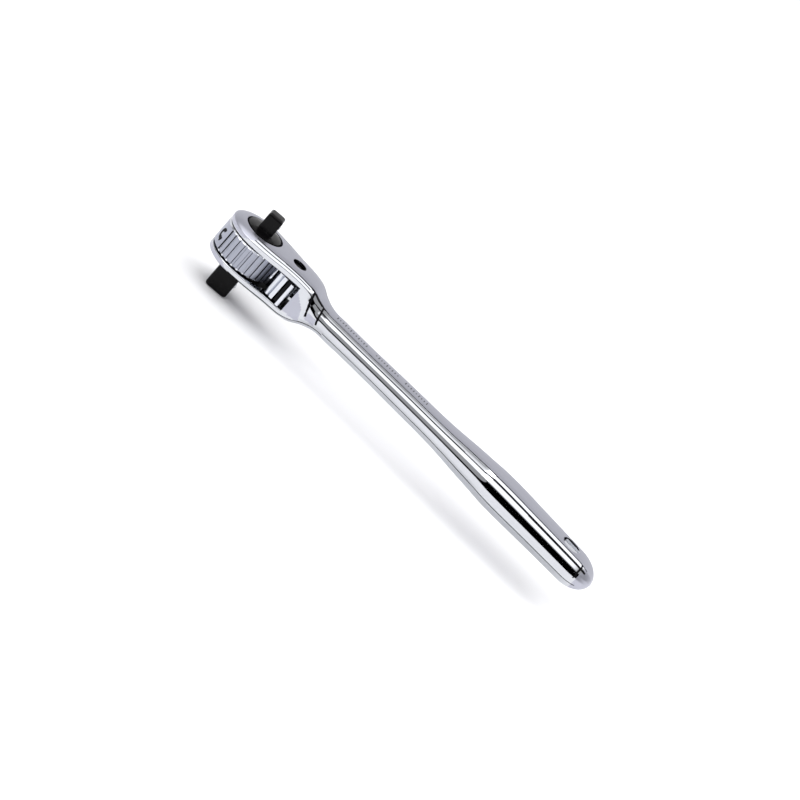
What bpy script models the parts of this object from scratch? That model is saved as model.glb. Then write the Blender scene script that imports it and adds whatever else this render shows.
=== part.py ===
"""Dual-drive ratchet wrench: one forged handle, a reversing ring, and a spindle with two square tangs.

The model is in metres with +Z up. The origin is the centre of the large tang's end face, +Z points
along the spindle towards the small tang, and +X runs along the handle from the spindle to the tail.
Sizes below are in millimetres; MM turns them into metres.
"""

import math

import bmesh
import bpy
import numpy as np
from mathutils import Matrix, Vector

MM = 0.001
COLLECTION = "ratchet_wrench"
GAP = 0.3  # running gap between pieces that touch
OVERSHOOT = 5.0  # how far a cutter runs past the surface that it opens
SHORT_OVERSHOOT = 2.0  # the same, where something else is near
JOIN = 0.3  # how far the spindle's pieces run into one another

# Levels along the spindle
LARGE_TANG = 11.0
HEAD_HALF = 9.3
MID = LARGE_TANG + HEAD_HALF
HEAD_TOP = MID + HEAD_HALF
SLOT_HALF = 5.75
SLOT_LOW = MID - SLOT_HALF
SLOT_HIGH = MID + SLOT_HALF
SMALL_TANG_END = HEAD_TOP + 8.1

# Forging
HEAD_RADIUS = 13.0
SLOT_END_X = 25.2
TAIL_START_X = 167.2
TAIL_END_X = 177.4
HANG_HOLE_X = 162.4
HANG_HOLE_RADIUS = 3.5
SHAPE_CHANGE = (24.0, 39.0)  # the head's section turns into the handle's between these
# Where the forging is sectioned: its nose and tail by degrees round their curves, the rest by distance
NOSE_ANGLES = (7, 16, 26, 37, 49, 61, 75)
HEAD_PLACES = np.arange(0.0, 28.0, 4.5)
NECK_PLACES = np.arange(29.0, 42.0, 2.2)
SHANK_PLACES = np.arange(45.0, 100.0, 9.0)
GRIP_PLACES = np.arange(104.0, TAIL_START_X - 2.0, 5.5)
TAIL_ANGLES = (0, 20, 38, 54, 67, 78, 86)
# Distance from the spindle, half width, half thickness, and how far the centreline drops
STATIONS = (
    (0.0, 13.0, 9.3, 0.0),
    (8.0, 12.1, 9.3, 0.0),
    (18.0, 9.5, 9.3, 0.0),
    (25.0, 8.6, 9.1, 0.0),
    (29.5, 7.9, 8.3, 0.0),
    (33.5, 7.0, 6.3, 0.0),
    (38.0, 6.2, 4.95, 0.0),
    (46.0, 6.0, 4.7, 0.0),
    (80.0, 6.2, 4.8, 0.0),
    (100.0, 6.7, 5.05, 0.1),
    (115.0, 7.8, 5.95, 0.25),
    (130.0, 8.6, 6.5, 0.5),
    (147.0, 8.3, 6.25, 0.9),
    (167.2, 7.8, 5.95, 1.5),
    (177.4, 7.6, 5.8, 1.8),
)
# A quarter of each cross-section, from the top centre to the side, as shares of the half sizes
HEAD_QUARTER = (
    (0.0, 1.0),
    (0.3, 0.997),
    (0.56, 0.985),
    (0.77, 0.955),
    (0.9, 0.9),
    (1.0, 0.825),
    (1.0, 0.55),
    (1.0, 0.27),
    (1.0, 0.0),
)
HEAD_DOME = 6  # how many of the head's points lie on its domed face
HANDLE_QUARTER = (
    (0.0, 1.0),
    (0.22, 0.997),
    (0.42, 0.985),
    (0.6, 0.96),
    (0.665, 0.82),
    (0.74, 0.67),
    (0.885, 0.46),
    (0.97, 0.24),
    (1.0, 0.0),
)

# Spindle
TANG_TURN = 10.0  # degrees about Z at rest
LARGE_SQUARE = 9.525
SMALL_SQUARE = 6.35
CORNER_SHARE = 0.09  # the radius of a tang's long edges, as a share of its side
LEAD_SHARE = 0.1  # the length of a tang's tapered lead-in, as a share of its side
TANG_ROOT = 1.0  # how far each tang runs on into the spindle
JOURNAL_RADIUS = 6.7
JOURNAL_LOW = LARGE_TANG + 0.05
JOURNAL_HIGH = SLOT_LOW + 0.3
GROOVE_RADIUS = 6.0
GROOVE_LOW = LARGE_TANG + 0.75
GROOVE_HIGH = LARGE_TANG + 1.75
HEX_RADIUS = 6.7
DISC_RADIUS = 7.55
DISC_CONE = 0.5
DISC_TOP = HEAD_TOP + DISC_CONE
CONE_TOP_RADIUS = SMALL_SQUARE * 0.75
LOWER_BORE = JOURNAL_RADIUS + GAP
UPPER_BORE = DISC_RADIUS + GAP
RING_RECESS_RADIUS = 8.6
RING_RECESS_DEPTH = 1.9

# Wheel and the washers above and below it
TEETH = 36
WHEEL_TIP = 8.9
WHEEL_ROOT = 8.1
WHEEL_BORE = HEX_RADIUS + 0.35  # to the corners, which leaves the gap at the flats
WASHER_INNER = 7.0
WASHER_OUTER = 8.6
WASHER_THICK = 0.5
WAVE_THICK = 0.35
WAVE_HEIGHT = 0.2
WAVE_CRESTS = 3
WAVE_INSET = 0.2

# Snap ring in the spindle's groove
SNAP_INNER = 6.2
SNAP_OUTER = 8.1
SNAP_LOW = LARGE_TANG + 0.9
SNAP_THICK = 0.7
SNAP_OPENING = 14.0  # half angle of its gap

# Reversing ring
RING_OUTER = 13.05
RING_INNER = 10.4
RING_HALF = 5.15
RING_TURN = 10.5  # degrees about Z at rest
RING_OPENING = 26.5  # half angle of the gap, on the handle side
FLUTE_PITCH = 12.0
FLUTE_DEPTH = 0.45
FLUTES_PER_SIDE = 9
RING_NOSE = 180.0
FIRST_FLUTE = 46.0  # from the ring's nose
PAD_HALF = 34.0  # half angle of the plain stretch over the nose
FLUTE_HALF = 2.4
FLOOR_HALF = 1.32  # half angle of a flute's flat floor

# Pawl
PIVOT_X = 18.1
PIN_RADIUS = 2.5
PAWL_ROCK = 5.0  # degrees each way
PAWL_HALF = 5.1
# Half of the pawl's outline at neutral, from its nose to the middle of its back
TIP_X = WHEEL_TIP + GAP
PAWL_NOSE = (
    (9.9, 0.0),
    (TIP_X + 0.05, 0.55),
    (TIP_X + 0.8, 1.35),
    (TIP_X + 0.03, 2.1),
    (TIP_X + 0.7, 2.7),
)
PAWL_NECK = ((13.9, 2.7), (14.6, 3.4), (15.9, 6.9))
LOBE_CENTRE = (17.3, 7.6)
LOBE_RADIUS = 1.05
LOBE_ANGLES = (165.0, 130.0, 95.0, 60.0, 25.0)
PAWL_BANDS = ((18.55, 7.5), (18.8, 8.6), (20.4, 8.6), (20.7, 7.4), (22.3, 7.4))
PAWL_RIB = (
    (22.5, 9.3),
    (22.8, 9.7),
    (23.8, 9.7),
    (24.1, 9.3),
    (24.1, 8.0),
    (23.4, 7.0),
    (21.8, 6.2),
)
BOSS_START = (21.8, 3.0)
BOSS_POINTS = ((26.0, 0.0), (15.0, 0.0), (10.0, 0.1), (5.0, 0.25), (1.5, 0.05))  # degrees, depth
BOSS_GAP = 0.15
PLUNGER_RADIUS = 0.7
PLUNGER_BORE = 0.95
PLUNGER_DROP = 2.4
PLUNGER_LENGTH = 2.3
PLUNGER_PROUD = 0.55
PLUNGER_DEPTH = 4.0
PLUNGER_TILT = 9.8  # the bore follows the ring's chord

# Balls and their springs; a coil is given by the radius of its wire's centre and the wire's diameter
DETENT_RADIUS = 1.5
DETENT_X = 24.5
DETENT_BORE = 1.8
DETENT_BORE_END = 32.0
LARGE_BALL = 1.6
LARGE_BALL_PROUD = 0.7
SMALL_BALL = 1.0
SMALL_BALL_PROUD = 0.45
DETENT_COIL = (1.2, 0.4)
DETENT_TURNS = 4.0
PLUNGER_COIL = (0.5, 0.2)
COIL_SHARE = 0.75  # of a tang ball's radius: the radius of the coil behind it
WIRE_SHARE = 0.3  # of a tang ball's radius: the wire's diameter
COIL_TURNS = 3.0
# Name, square, ball radius, how far it stands out, height, and depth of its hole
TANG_BALLS = (
    ("large_tang", LARGE_SQUARE, LARGE_BALL, LARGE_BALL_PROUD, 5.2, 7.2),
    ("small_tang", SMALL_SQUARE, SMALL_BALL, SMALL_BALL_PROUD, SMALL_TANG_END - 3.6, 4.9),
)
SPINDLE_TOOLS = (
    "add_journal",
    "add_hexagon",
    "add_disc",
    "add_disc_cone",
    "add_small_tang",
    "cut_ring_groove",
    "cut_large_tang_hole",
    "cut_small_tang_hole",
)

STEEL_CHROME = ("chrome_plated_steel", (0.72, 0.73, 0.74), 0.18, 1.0)
STEEL_BLACK = ("black_oxide_steel", (0.03, 0.03, 0.032), 0.35, 0.9)
STEEL_SATIN = ("satin_chrome_steel", (0.6, 0.61, 0.63), 0.35, 1.0)
STEEL_SPRING = ("spring_steel", (0.4, 0.4, 0.42), 0.3, 1.0)
STEEL_BEARING = ("bearing_steel", (0.75, 0.75, 0.77), 0.1, 1.0)


def clear_scene():
    """Removes whatever the scene holds."""
    for item in list(bpy.data.objects):
        bpy.data.objects.remove(item, do_unlink=True)


def make_collection(name):
    """A new collection under the scene's own."""
    group = bpy.data.collections.new(name)
    bpy.context.scene.collection.children.link(group)
    return group


def make_material(finish):
    """A Principled material from a finish: name, colour, roughness, metallic."""
    name, colour, roughness, metallic = finish
    found = bpy.data.materials.get(name)
    if found:
        return found
    material = bpy.data.materials.new(name)
    material.use_nodes = True
    shader = material.node_tree.nodes["Principled BSDF"]
    shader.inputs["Base Color"].default_value = (*colour, 1.0)
    shader.inputs["Roughness"].default_value = roughness
    shader.inputs["Metallic"].default_value = metallic
    return material


def new_part(name, mesh, finish):
    """Links a part made from a mesh, with its own copy of the finish's material."""
    part = bpy.data.objects.new(name, mesh)
    parts.objects.link(part)
    material = make_material(finish).copy()
    material.name = f"{name}_{finish[0]}"
    mesh.materials.clear()
    mesh.materials.append(material)
    return part


def new_cutter(name, mesh):
    """Links a Boolean's tool, which is never rendered."""
    cutter = bpy.data.objects.new(name, mesh)
    cutters.objects.link(cutter)
    cutter.hide_render = True
    cutter.display_type = "WIRE"
    return cutter


def boolean(part, other, operation):
    """Adds an exact Boolean of another object to a part."""
    modifier = part.modifiers.new(f"{operation.lower()}_{other.name}", "BOOLEAN")
    modifier.operation = operation
    modifier.solver = "EXACT"
    modifier.object = other


def cut(part, mesh, name):
    """Takes a mesh away from a part; returns the tool that holds it."""
    cutter = new_cutter(f"cut_{name}", mesh)
    boolean(part, cutter, "DIFFERENCE")
    return cutter


def join(part, mesh, name):
    """Adds a mesh to a part; returns the tool that holds it."""
    tool = new_cutter(f"add_{name}", mesh)
    boolean(part, tool, "UNION")
    return tool


def cylinder_mesh(name, radius, low, high, segments=32):
    """A closed cylinder along Z between two heights."""
    mesh = bpy.data.meshes.new(name)
    shape = bmesh.new()
    bmesh.ops.create_cone(
        shape,
        cap_ends=True,
        segments=segments,
        radius1=radius * MM,
        radius2=radius * MM,
        depth=(high - low) * MM,
        matrix=Matrix.Translation((0.0, 0.0, (low + high) / 2 * MM)),
    )
    shape.to_mesh(mesh)
    shape.free()
    return mesh


def box_mesh(name, size, centre):
    """A closed box from its size and centre."""
    mesh = bpy.data.meshes.new(name)
    shape = bmesh.new()
    scale = Matrix.Diagonal((*[side * MM for side in size], 1.0))
    place = Matrix.Translation([c * MM for c in centre])
    bmesh.ops.create_cube(shape, size=1.0, matrix=place @ scale)
    shape.to_mesh(mesh)
    shape.free()
    return mesh


def ball_mesh(name, radius):
    """A faceted ball round the origin."""
    mesh = bpy.data.meshes.new(name)
    shape = bmesh.new()
    bmesh.ops.create_uvsphere(shape, u_segments=14, v_segments=8, radius=radius * MM)
    shape.to_mesh(mesh)
    shape.free()
    smooth(mesh, 60.0)
    return mesh


def smooth(mesh, angle=30.0):
    """Shades a mesh smooth, except along edges sharper than an angle in degrees."""
    mesh.shade_smooth()
    mesh.set_sharp_from_angle(angle=math.radians(angle))


def mesh_from_curve(curve_object, name):
    """Turns a curve into a welded mesh in the curve's own place and removes the curve."""
    bpy.context.view_layer.update()
    depsgraph = bpy.context.evaluated_depsgraph_get()
    mesh = bpy.data.meshes.new_from_object(curve_object.evaluated_get(depsgraph))
    mesh.transform(curve_object.matrix_world)
    bpy.data.objects.remove(curve_object, do_unlink=True)
    shape = bmesh.new()
    shape.from_mesh(mesh)
    bmesh.ops.remove_doubles(shape, verts=shape.verts, dist=1e-7)
    bmesh.ops.recalc_face_normals(shape, faces=shape.faces)
    shape.to_mesh(mesh)
    shape.free()
    mesh.name = name
    return mesh


def outline_mesh(name, loops, low, high):
    """A flat outline, with any holes as further loops, extruded between two heights."""
    curve = bpy.data.curves.new(name, "CURVE")
    curve.dimensions = "2D"
    curve.fill_mode = "BOTH"
    curve.extrude = (high - low) / 2 * MM
    for loop in loops:
        spline = curve.splines.new("POLY")
        spline.points.add(len(loop) - 1)
        for point, (x, y) in zip(spline.points, loop):
            point.co = (x * MM, y * MM, 0.0, 1.0)
        spline.use_cyclic_u = True
    holder = bpy.data.objects.new(name, curve)
    parts.objects.link(holder)
    holder.location.z = (low + high) / 2 * MM
    return mesh_from_curve(holder, name)


def turned_part(name, profile, finish, steps=48):
    """A part turned about Z: a closed profile that runs down its outer side first."""
    mesh = bpy.data.meshes.new(name)
    points = [(radius * MM, 0.0, height * MM) for radius, height in profile]
    edges = [(i, (i + 1) % len(points)) for i in range(len(points))]
    mesh.from_pydata(points, edges, [])
    part = new_part(name, mesh, finish)
    screw = part.modifiers.new("turn", "SCREW")
    screw.axis = "Z"
    screw.steps = steps
    screw.render_steps = steps
    screw.use_merge_vertices = True
    screw.merge_threshold = 1e-6
    screw.use_smooth_shade = False
    return part


def helix_mesh(name, radius, wire, length, turns, points_per_turn=8):
    """A coil of wire along Z from 0 to a length, with its wire's centre on a helix."""
    curve = bpy.data.curves.new(name, "CURVE")
    curve.dimensions = "3D"
    curve.bevel_depth = wire / 2 * MM
    curve.bevel_resolution = 2
    curve.use_fill_caps = True
    count = int(turns * points_per_turn) + 1
    spline = curve.splines.new("POLY")
    spline.points.add(count - 1)
    for i, point in enumerate(spline.points):
        share = i / (count - 1)
        angle = 2 * math.pi * turns * share
        height = wire / 2 + share * (length - wire)
        point.co = (radius * math.cos(angle) * MM, radius * math.sin(angle) * MM, height * MM, 1.0)
    holder = bpy.data.objects.new(name, curve)
    parts.objects.link(holder)
    return mesh_from_curve(holder, name)


def polar(radius, degrees):
    """The point (x, y) at a radius and an angle in degrees."""
    angle = math.radians(degrees)
    return radius * math.cos(angle), radius * math.sin(angle)


def along(direction):
    """The rotation that turns +Z onto a direction."""
    return Vector((0.0, 0.0, 1.0)).rotation_difference(Vector(direction))


def put(part, centre, direction=None):
    """Places a part by its location, turning its Z axis onto a direction."""
    part.location = Vector(centre) * MM
    if direction is not None:
        part.rotation_mode = "QUATERNION"
        part.rotation_quaternion = along(direction)
    return part


def smooth_step(value, low, high):
    """Rises from 0 at low to 1 at high, level at both ends."""
    share = np.clip((value - low) / (high - low), 0.0, 1.0)
    return share * share * (3.0 - 2.0 * share)


def station_values(x):
    """Half width, half thickness and drop at a distance from the spindle.

    A cubic through the stations, whose slope at each is the mean of the slopes on its two sides.
    """
    table = np.array(STATIONS)
    places = table[:, 0]
    slopes = np.gradient(table[:, 1:], places, axis=0)
    slopes[0] = 0.0
    i = int(np.clip(np.searchsorted(places, x) - 1, 0, len(places) - 2))
    width = places[i + 1] - places[i]
    t = (x - places[i]) / width
    start, end = table[i, 1:], table[i + 1, 1:]
    return (
        (2 * t**3 - 3 * t**2 + 1) * start
        + (t**3 - 2 * t**2 + t) * width * slopes[i]
        + (3 * t**2 - 2 * t**3) * end
        + (t**3 - t**2) * width * slopes[i + 1]
    )


def section(x):
    """One closed ring of the forging's surface, as (y, z) pairs, at a distance x."""
    head = np.array(HEAD_QUARTER)
    if x < 0.0:
        half_width = math.sqrt(HEAD_RADIUS**2 - x**2)
        radius = np.hypot(x, head[:, 0] * half_width) / HEAD_RADIUS
        dome = np.interp(radius, head[:HEAD_DOME, 0], head[:HEAD_DOME, 1])
        height = np.where(np.arange(len(head)) < HEAD_DOME, dome, head[:, 1])
        quarter = np.column_stack((head[:, 0] * half_width, height * HEAD_HALF))
        drop = 0.0
    else:
        half_width, half_height, drop = station_values(x)
        share = smooth_step(x, *SHAPE_CHANGE)
        quarter = head * (1.0 - share) + np.array(HANDLE_QUARTER) * share
        if x > TAIL_START_X:
            round_off = math.sqrt(1.0 - ((x - TAIL_START_X) / (TAIL_END_X - TAIL_START_X)) ** 2)
            half_width = half_width * round_off
            half_height = half_height * round_off
        quarter = quarter * (half_width, half_height)
    right_top = quarter[:-1]
    right_low = quarter[:0:-1] * (1.0, -1.0)
    left_low = quarter[:-1] * (-1.0, -1.0)
    left_top = quarter[:0:-1] * (-1.0, 1.0)
    ring = np.vstack((right_top, right_low, left_low, left_top))
    ring[:, 1] += MID - drop
    return ring


def forging_places():
    """Distances at which the forging is sectioned: close together where its shape turns."""
    nose = [-HEAD_RADIUS * math.cos(math.radians(a)) for a in NOSE_ANGLES]
    tail_length = TAIL_END_X - TAIL_START_X
    tail = [TAIL_START_X + tail_length * math.sin(math.radians(a)) for a in TAIL_ANGLES]
    return [*nose, *HEAD_PLACES, *NECK_PLACES, *SHANK_PLACES, *GRIP_PLACES, *tail]


def build_forging():
    """The one-piece forging: a loft of sections along X, then the slot, bores and holes."""
    places = forging_places()
    rings = [section(x) for x in places]
    count = len(rings[0])
    points = [(x * MM, y * MM, z * MM) for x, ring in zip(places, rings) for y, z in ring]
    faces = []
    for i in range(len(places) - 1):
        for j in range(count):
            k = (j + 1) % count
            low, high = i * count, (i + 1) * count
            faces.append((low + j, low + k, high + k, high + j))
    faces.append(tuple(reversed(range(count))))
    faces.append(tuple(range((len(places) - 1) * count, len(places) * count)))
    mesh = bpy.data.meshes.new("handle_forging")
    mesh.from_pydata(points, [], faces)
    shape = bmesh.new()
    shape.from_mesh(mesh)
    bmesh.ops.recalc_face_normals(shape, faces=shape.faces)
    shape.to_mesh(mesh)
    shape.free()
    smooth(mesh, 25.0)
    forging = new_part("handle_forging", mesh, STEEL_CHROME)

    slot_length = SLOT_END_X + HEAD_RADIUS + OVERSHOOT
    slot_size = (slot_length, 4 * HEAD_RADIUS, 2 * SLOT_HALF)
    slot_centre = (SLOT_END_X - slot_length / 2, 0.0, MID)
    cut(forging, box_mesh("slot", slot_size, slot_centre), "slot")
    above = HEAD_TOP + OVERSHOOT
    below = LARGE_TANG - OVERSHOOT
    upper = cylinder_mesh("bore_upper", UPPER_BORE, MID, above, segments=40)
    cut(forging, upper, "upper_bore")
    lower = cylinder_mesh("bore_lower", LOWER_BORE, below, MID, segments=40)
    cut(forging, lower, "lower_bore")
    recess_top = LARGE_TANG + RING_RECESS_DEPTH
    recess = cylinder_mesh("recess", RING_RECESS_RADIUS, below, recess_top, segments=40)
    cut(forging, recess, "ring_recess")
    pin_hole = cylinder_mesh("pin_hole", PIN_RADIUS + GAP, below, above, segments=24)
    cut(forging, pin_hole, "pin_hole").location.x = PIVOT_X * MM
    detent_start = SLOT_END_X - SHORT_OVERSHOOT
    detent_length = DETENT_BORE_END - detent_start
    detent = cylinder_mesh("detent_bore", DETENT_BORE, 0.0, detent_length, segments=20)
    put(cut(forging, detent, "detent_bore"), (detent_start, 0.0, MID), (1.0, 0.0, 0.0))
    hang = cylinder_mesh("hang_hole", HANG_HOLE_RADIUS, LARGE_TANG, HEAD_TOP, segments=28)
    cut(forging, hang, "hang_hole").location.x = HANG_HOLE_X * MM
    return forging


def square_mesh(name, side, low, high, tip_low):
    """A square tang with rounded long edges and a tapered lead-in at its free end."""
    corner = side * CORNER_SHARE
    lead = side * LEAD_SHARE
    half = side / 2
    outline = []
    for quarter in range(4):
        start = quarter * 90.0
        for step in (0, 30, 60, 90):
            x, y = polar(corner, start + step)
            centre_x, centre_y = polar((half - corner) * math.sqrt(2.0), start + 45.0)
            outline.append((centre_x + x, centre_y + y))
    ends = ((low, 1.0 - lead / half), (low + lead, 1.0)) if tip_low else ((low, 1.0),)
    tops = ((high, 1.0),) if tip_low else ((high - lead, 1.0), (high, 1.0 - lead / half))
    levels = ends + tops
    points = [(x * s * MM, y * s * MM, z * MM) for z, s in levels for x, y in outline]
    count = len(outline)
    faces = [tuple(reversed(range(count)))]
    for i in range(len(levels) - 1):
        for j in range(count):
            k = (j + 1) % count
            faces.append((i * count + j, i * count + k, (i + 1) * count + k, (i + 1) * count + j))
    faces.append(tuple(range((len(levels) - 1) * count, len(levels) * count)))
    mesh = bpy.data.meshes.new(name)
    mesh.from_pydata(points, [], faces)
    return mesh


def cone_mesh():
    """The shallow cone that leads from the disc up to the small tang."""
    cone = bpy.data.meshes.new("cone")
    shape = bmesh.new()
    bmesh.ops.create_cone(
        shape,
        cap_ends=True,
        segments=40,
        radius1=DISC_RADIUS * MM,
        radius2=CONE_TOP_RADIUS * MM,
        depth=DISC_CONE * MM,
        matrix=Matrix.Translation((0.0, 0.0, (HEAD_TOP + DISC_CONE / 2) * MM)),
    )
    shape.to_mesh(cone)
    shape.free()
    return cone


def groove_mesh():
    """The ring that is taken out of the journal for the snap ring: a rectangle turned about Z."""
    groove = bpy.data.meshes.new("groove")
    outer = JOURNAL_RADIUS + SHORT_OVERSHOOT
    profile = (
        (outer, GROOVE_HIGH),
        (outer, GROOVE_LOW),
        (GROOVE_RADIUS, GROOVE_LOW),
        (GROOVE_RADIUS, GROOVE_HIGH),
    )
    shape = bmesh.new()
    verts = [shape.verts.new((radius * MM, 0.0, height * MM)) for radius, height in profile]
    edges = [shape.edges.new((verts[i - 1], verts[i])) for i in (1, 2, 3, 0)]
    bmesh.ops.spin(
        shape,
        geom=verts + edges,
        axis=(0.0, 0.0, 1.0),
        cent=(0.0, 0.0, 0.0),
        steps=36,
        angle=2 * math.pi,
        use_merge=True,
    )
    bmesh.ops.remove_doubles(shape, verts=shape.verts, dist=1e-7)
    bmesh.ops.recalc_face_normals(shape, faces=shape.faces)
    shape.to_mesh(groove)
    shape.free()
    return groove


def build_spindle():
    """The drive spindle: large tang, grooved journal, hexagon, disc and small tang."""
    mesh = square_mesh("drive_spindle", LARGE_SQUARE, 0.0, LARGE_TANG + TANG_ROOT, True)
    spindle = new_part("drive_spindle", mesh, STEEL_BLACK)
    journal = cylinder_mesh("journal", JOURNAL_RADIUS, JOURNAL_LOW, JOURNAL_HIGH, segments=36)
    join(spindle, journal, "journal")
    corners = [polar(HEX_RADIUS, 60.0 * i) for i in range(6)]
    hexagon = outline_mesh("hexagon", (corners,), JOURNAL_HIGH - JOIN, SLOT_HIGH + JOIN)
    join(spindle, hexagon, "hexagon")
    disc = cylinder_mesh("disc", DISC_RADIUS, SLOT_HIGH, HEAD_TOP, segments=40)
    join(spindle, disc, "disc")
    join(spindle, cone_mesh(), "disc_cone")
    small = square_mesh("small_tang", SMALL_SQUARE, DISC_TOP - TANG_ROOT, SMALL_TANG_END, False)
    join(spindle, small, "small_tang")
    cut(spindle, groove_mesh(), "ring_groove")
    for name, square, ball, proud, height, depth in TANG_BALLS:
        low = square / 2 - depth
        high = square / 2 + SHORT_OVERSHOOT
        hole = cylinder_mesh(f"{name}_hole", ball + GAP, low, high, segments=16)
        put(cut(spindle, hole, f"{name}_hole"), (0.0, 0.0, height), (1.0, 0.0, 0.0))
    for helper in cutters.objects:
        if helper.name in SPINDLE_TOOLS:
            helper.parent = spindle
    spindle.rotation_euler.z = math.radians(TANG_TURN)
    return spindle


def build_tang_balls():
    """Each tang's retaining ball, and the coil spring behind it in the same hole."""
    outward = (*polar(1.0, TANG_TURN), 0.0)
    for name, square, ball, proud, height, depth in TANG_BALLS:
        ball_part = new_part(f"{name}_ball", ball_mesh(f"{name}_ball", ball), STEEL_BEARING)
        reach = square / 2 + proud - ball
        put(ball_part, (*polar(reach, TANG_TURN), height))
        start = square / 2 - depth + GAP
        length = reach - ball - GAP - start
        radius = ball * COIL_SHARE
        coil = helix_mesh(f"{name}_spring", radius, ball * WIRE_SHARE, length, COIL_TURNS)
        spring = new_part(f"{name}_spring", coil, STEEL_SPRING)
        put(spring, (*polar(start, TANG_TURN), height), outward)


def build_wheel():
    """The ratchet wheel: pointed teeth outside, a hexagonal bore on the spindle inside."""
    low = SLOT_LOW + GAP + WASHER_THICK + GAP + WAVE_THICK + 2 * WAVE_HEIGHT + GAP
    high = SLOT_HIGH - GAP - WASHER_THICK - GAP
    step = 360.0 / TEETH
    teeth = []
    for i in range(TEETH):
        teeth.append(polar(WHEEL_TIP, i * step))
        teeth.append(polar(WHEEL_ROOT, (i + 0.5) * step))
    bore = [polar(WHEEL_BORE, 60.0 * i) for i in range(6)]
    mesh = outline_mesh("ratchet_wheel", (teeth, bore), low, high)
    wheel = new_part("ratchet_wheel", mesh, STEEL_BLACK)
    wheel.rotation_euler.z = math.radians(TANG_TURN)


def build_washers():
    """Flat thrust washers under and over the wheel, and the wave spring that takes up play."""
    levels = (
        ("lower_thrust_washer", SLOT_LOW + GAP),
        ("upper_thrust_washer", SLOT_HIGH - GAP - WASHER_THICK),
    )
    for name, low in levels:
        high = low + WASHER_THICK
        profile = (
            (WASHER_OUTER, high),
            (WASHER_OUTER, low),
            (WASHER_INNER, low),
            (WASHER_INNER, high),
        )
        turned_part(name, profile, STEEL_SPRING, 40)
    middle = SLOT_LOW + GAP + WASHER_THICK + GAP + WAVE_HEIGHT + WAVE_THICK / 2
    outer = WASHER_OUTER - WAVE_INSET
    inner = WASHER_INNER + WAVE_INSET
    half = WAVE_THICK / 2
    spring = turned_part(
        "wave_spring",
        ((outer, half), (outer, -half), (inner, -half), (inner, half)),
        STEEL_SPRING,
        36,
    )
    depsgraph = bpy.context.evaluated_depsgraph_get()
    mesh = bpy.data.meshes.new_from_object(spring.evaluated_get(depsgraph))
    for vertex in mesh.vertices:
        angle = math.atan2(vertex.co.y, vertex.co.x)
        vertex.co.z += (middle + WAVE_HEIGHT * math.cos(WAVE_CRESTS * angle)) * MM
    spring.modifiers.clear()
    spring.data = mesh


def build_retaining_ring():
    """The open snap ring in the spindle's groove, under the lower cheek."""
    angles = np.linspace(SNAP_OPENING, 360.0 - SNAP_OPENING, 33)
    loop = [polar(SNAP_OUTER, a) for a in angles] + [polar(SNAP_INNER, a) for a in angles[::-1]]
    ring = outline_mesh("spindle_retaining_ring", (loop,), SNAP_LOW, SNAP_LOW + SNAP_THICK)
    part = new_part("spindle_retaining_ring", ring, STEEL_SPRING)
    part.rotation_euler.z = math.radians(TANG_TURN)


def flute(centre):
    """The four outline points of a flute about an angle: down one flank, along the floor, up again."""
    floor = RING_OUTER - FLUTE_DEPTH
    return [
        polar(RING_OUTER, centre - FLUTE_HALF),
        polar(floor, centre - FLOOR_HALF),
        polar(floor, centre + FLOOR_HALF),
        polar(RING_OUTER, centre + FLUTE_HALF),
    ]


def ring_outline():
    """The open fluted ring seen along Z: outer side, then back along the inner side."""
    side = FIRST_FLUTE + FLUTE_PITCH * np.arange(FLUTES_PER_SIDE)
    outer = [polar(RING_OUTER, RING_OPENING)]
    for centre in RING_NOSE - side[::-1]:
        outer += flute(centre)
    pad = np.linspace(RING_NOSE - PAD_HALF, RING_NOSE + PAD_HALF, 8)
    outer += [polar(RING_OUTER, a) for a in pad]
    for centre in RING_NOSE + side:
        outer += flute(centre)
    outer.append(polar(RING_OUTER, 360.0 - RING_OPENING))
    inner = [polar(RING_INNER, a) for a in np.linspace(360.0 - RING_OPENING, RING_OPENING, 34)]
    return outer + inner


def plunger_frames():
    """For each end of the ring: name, start point on the end face, and direction into the ring."""
    middle = (RING_OUTER + RING_INNER) / 2
    for name, side in (("left", 1.0), ("right", -1.0)):
        start = polar(middle, side * RING_OPENING)
        inward = polar(1.0, side * (RING_OPENING + 90.0 + PLUNGER_TILT))
        yield name, Vector((*start, 0.0)), Vector((*inward, 0.0))


def build_ring():
    """The reversing ring with a plunger and spring in a blind bore in each of its ends."""
    hub = bpy.data.objects.new("ring_axis", None)
    parts.objects.link(hub)
    hub.rotation_euler.z = math.radians(RING_TURN)
    mesh = outline_mesh("reversing_ring", (ring_outline(),), MID - RING_HALF, MID + RING_HALF)
    ring = new_part("reversing_ring", mesh, STEEL_SATIN)
    ring.parent = hub
    height = Vector((0.0, 0.0, MID - PLUNGER_DROP))
    for name, start, inward in plunger_frames():
        low = -SHORT_OVERSHOOT
        bore = cylinder_mesh(f"{name}_plunger_bore", PLUNGER_BORE, low, PLUNGER_DEPTH, segments=14)
        cutter = put(cut(ring, bore, f"{name}_plunger_bore"), start + height, inward)
        cutter.parent = hub
        low = -PLUNGER_PROUD
        high = PLUNGER_LENGTH - PLUNGER_PROUD
        body = cylinder_mesh(f"{name}_plunger", PLUNGER_RADIUS, low, high, segments=14)
        plunger = new_part(f"{name}_plunger", body, STEEL_BEARING)
        put(plunger, start + height, inward).parent = hub
        spring_start = high + GAP
        spring_length = PLUNGER_DEPTH - GAP - spring_start
        coil = helix_mesh(f"{name}_plunger_spring", *PLUNGER_COIL, spring_length, COIL_TURNS)
        spring = new_part(f"{name}_plunger_spring", coil, STEEL_SPRING)
        put(spring, start + height + inward * spring_start, inward).parent = hub


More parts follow.
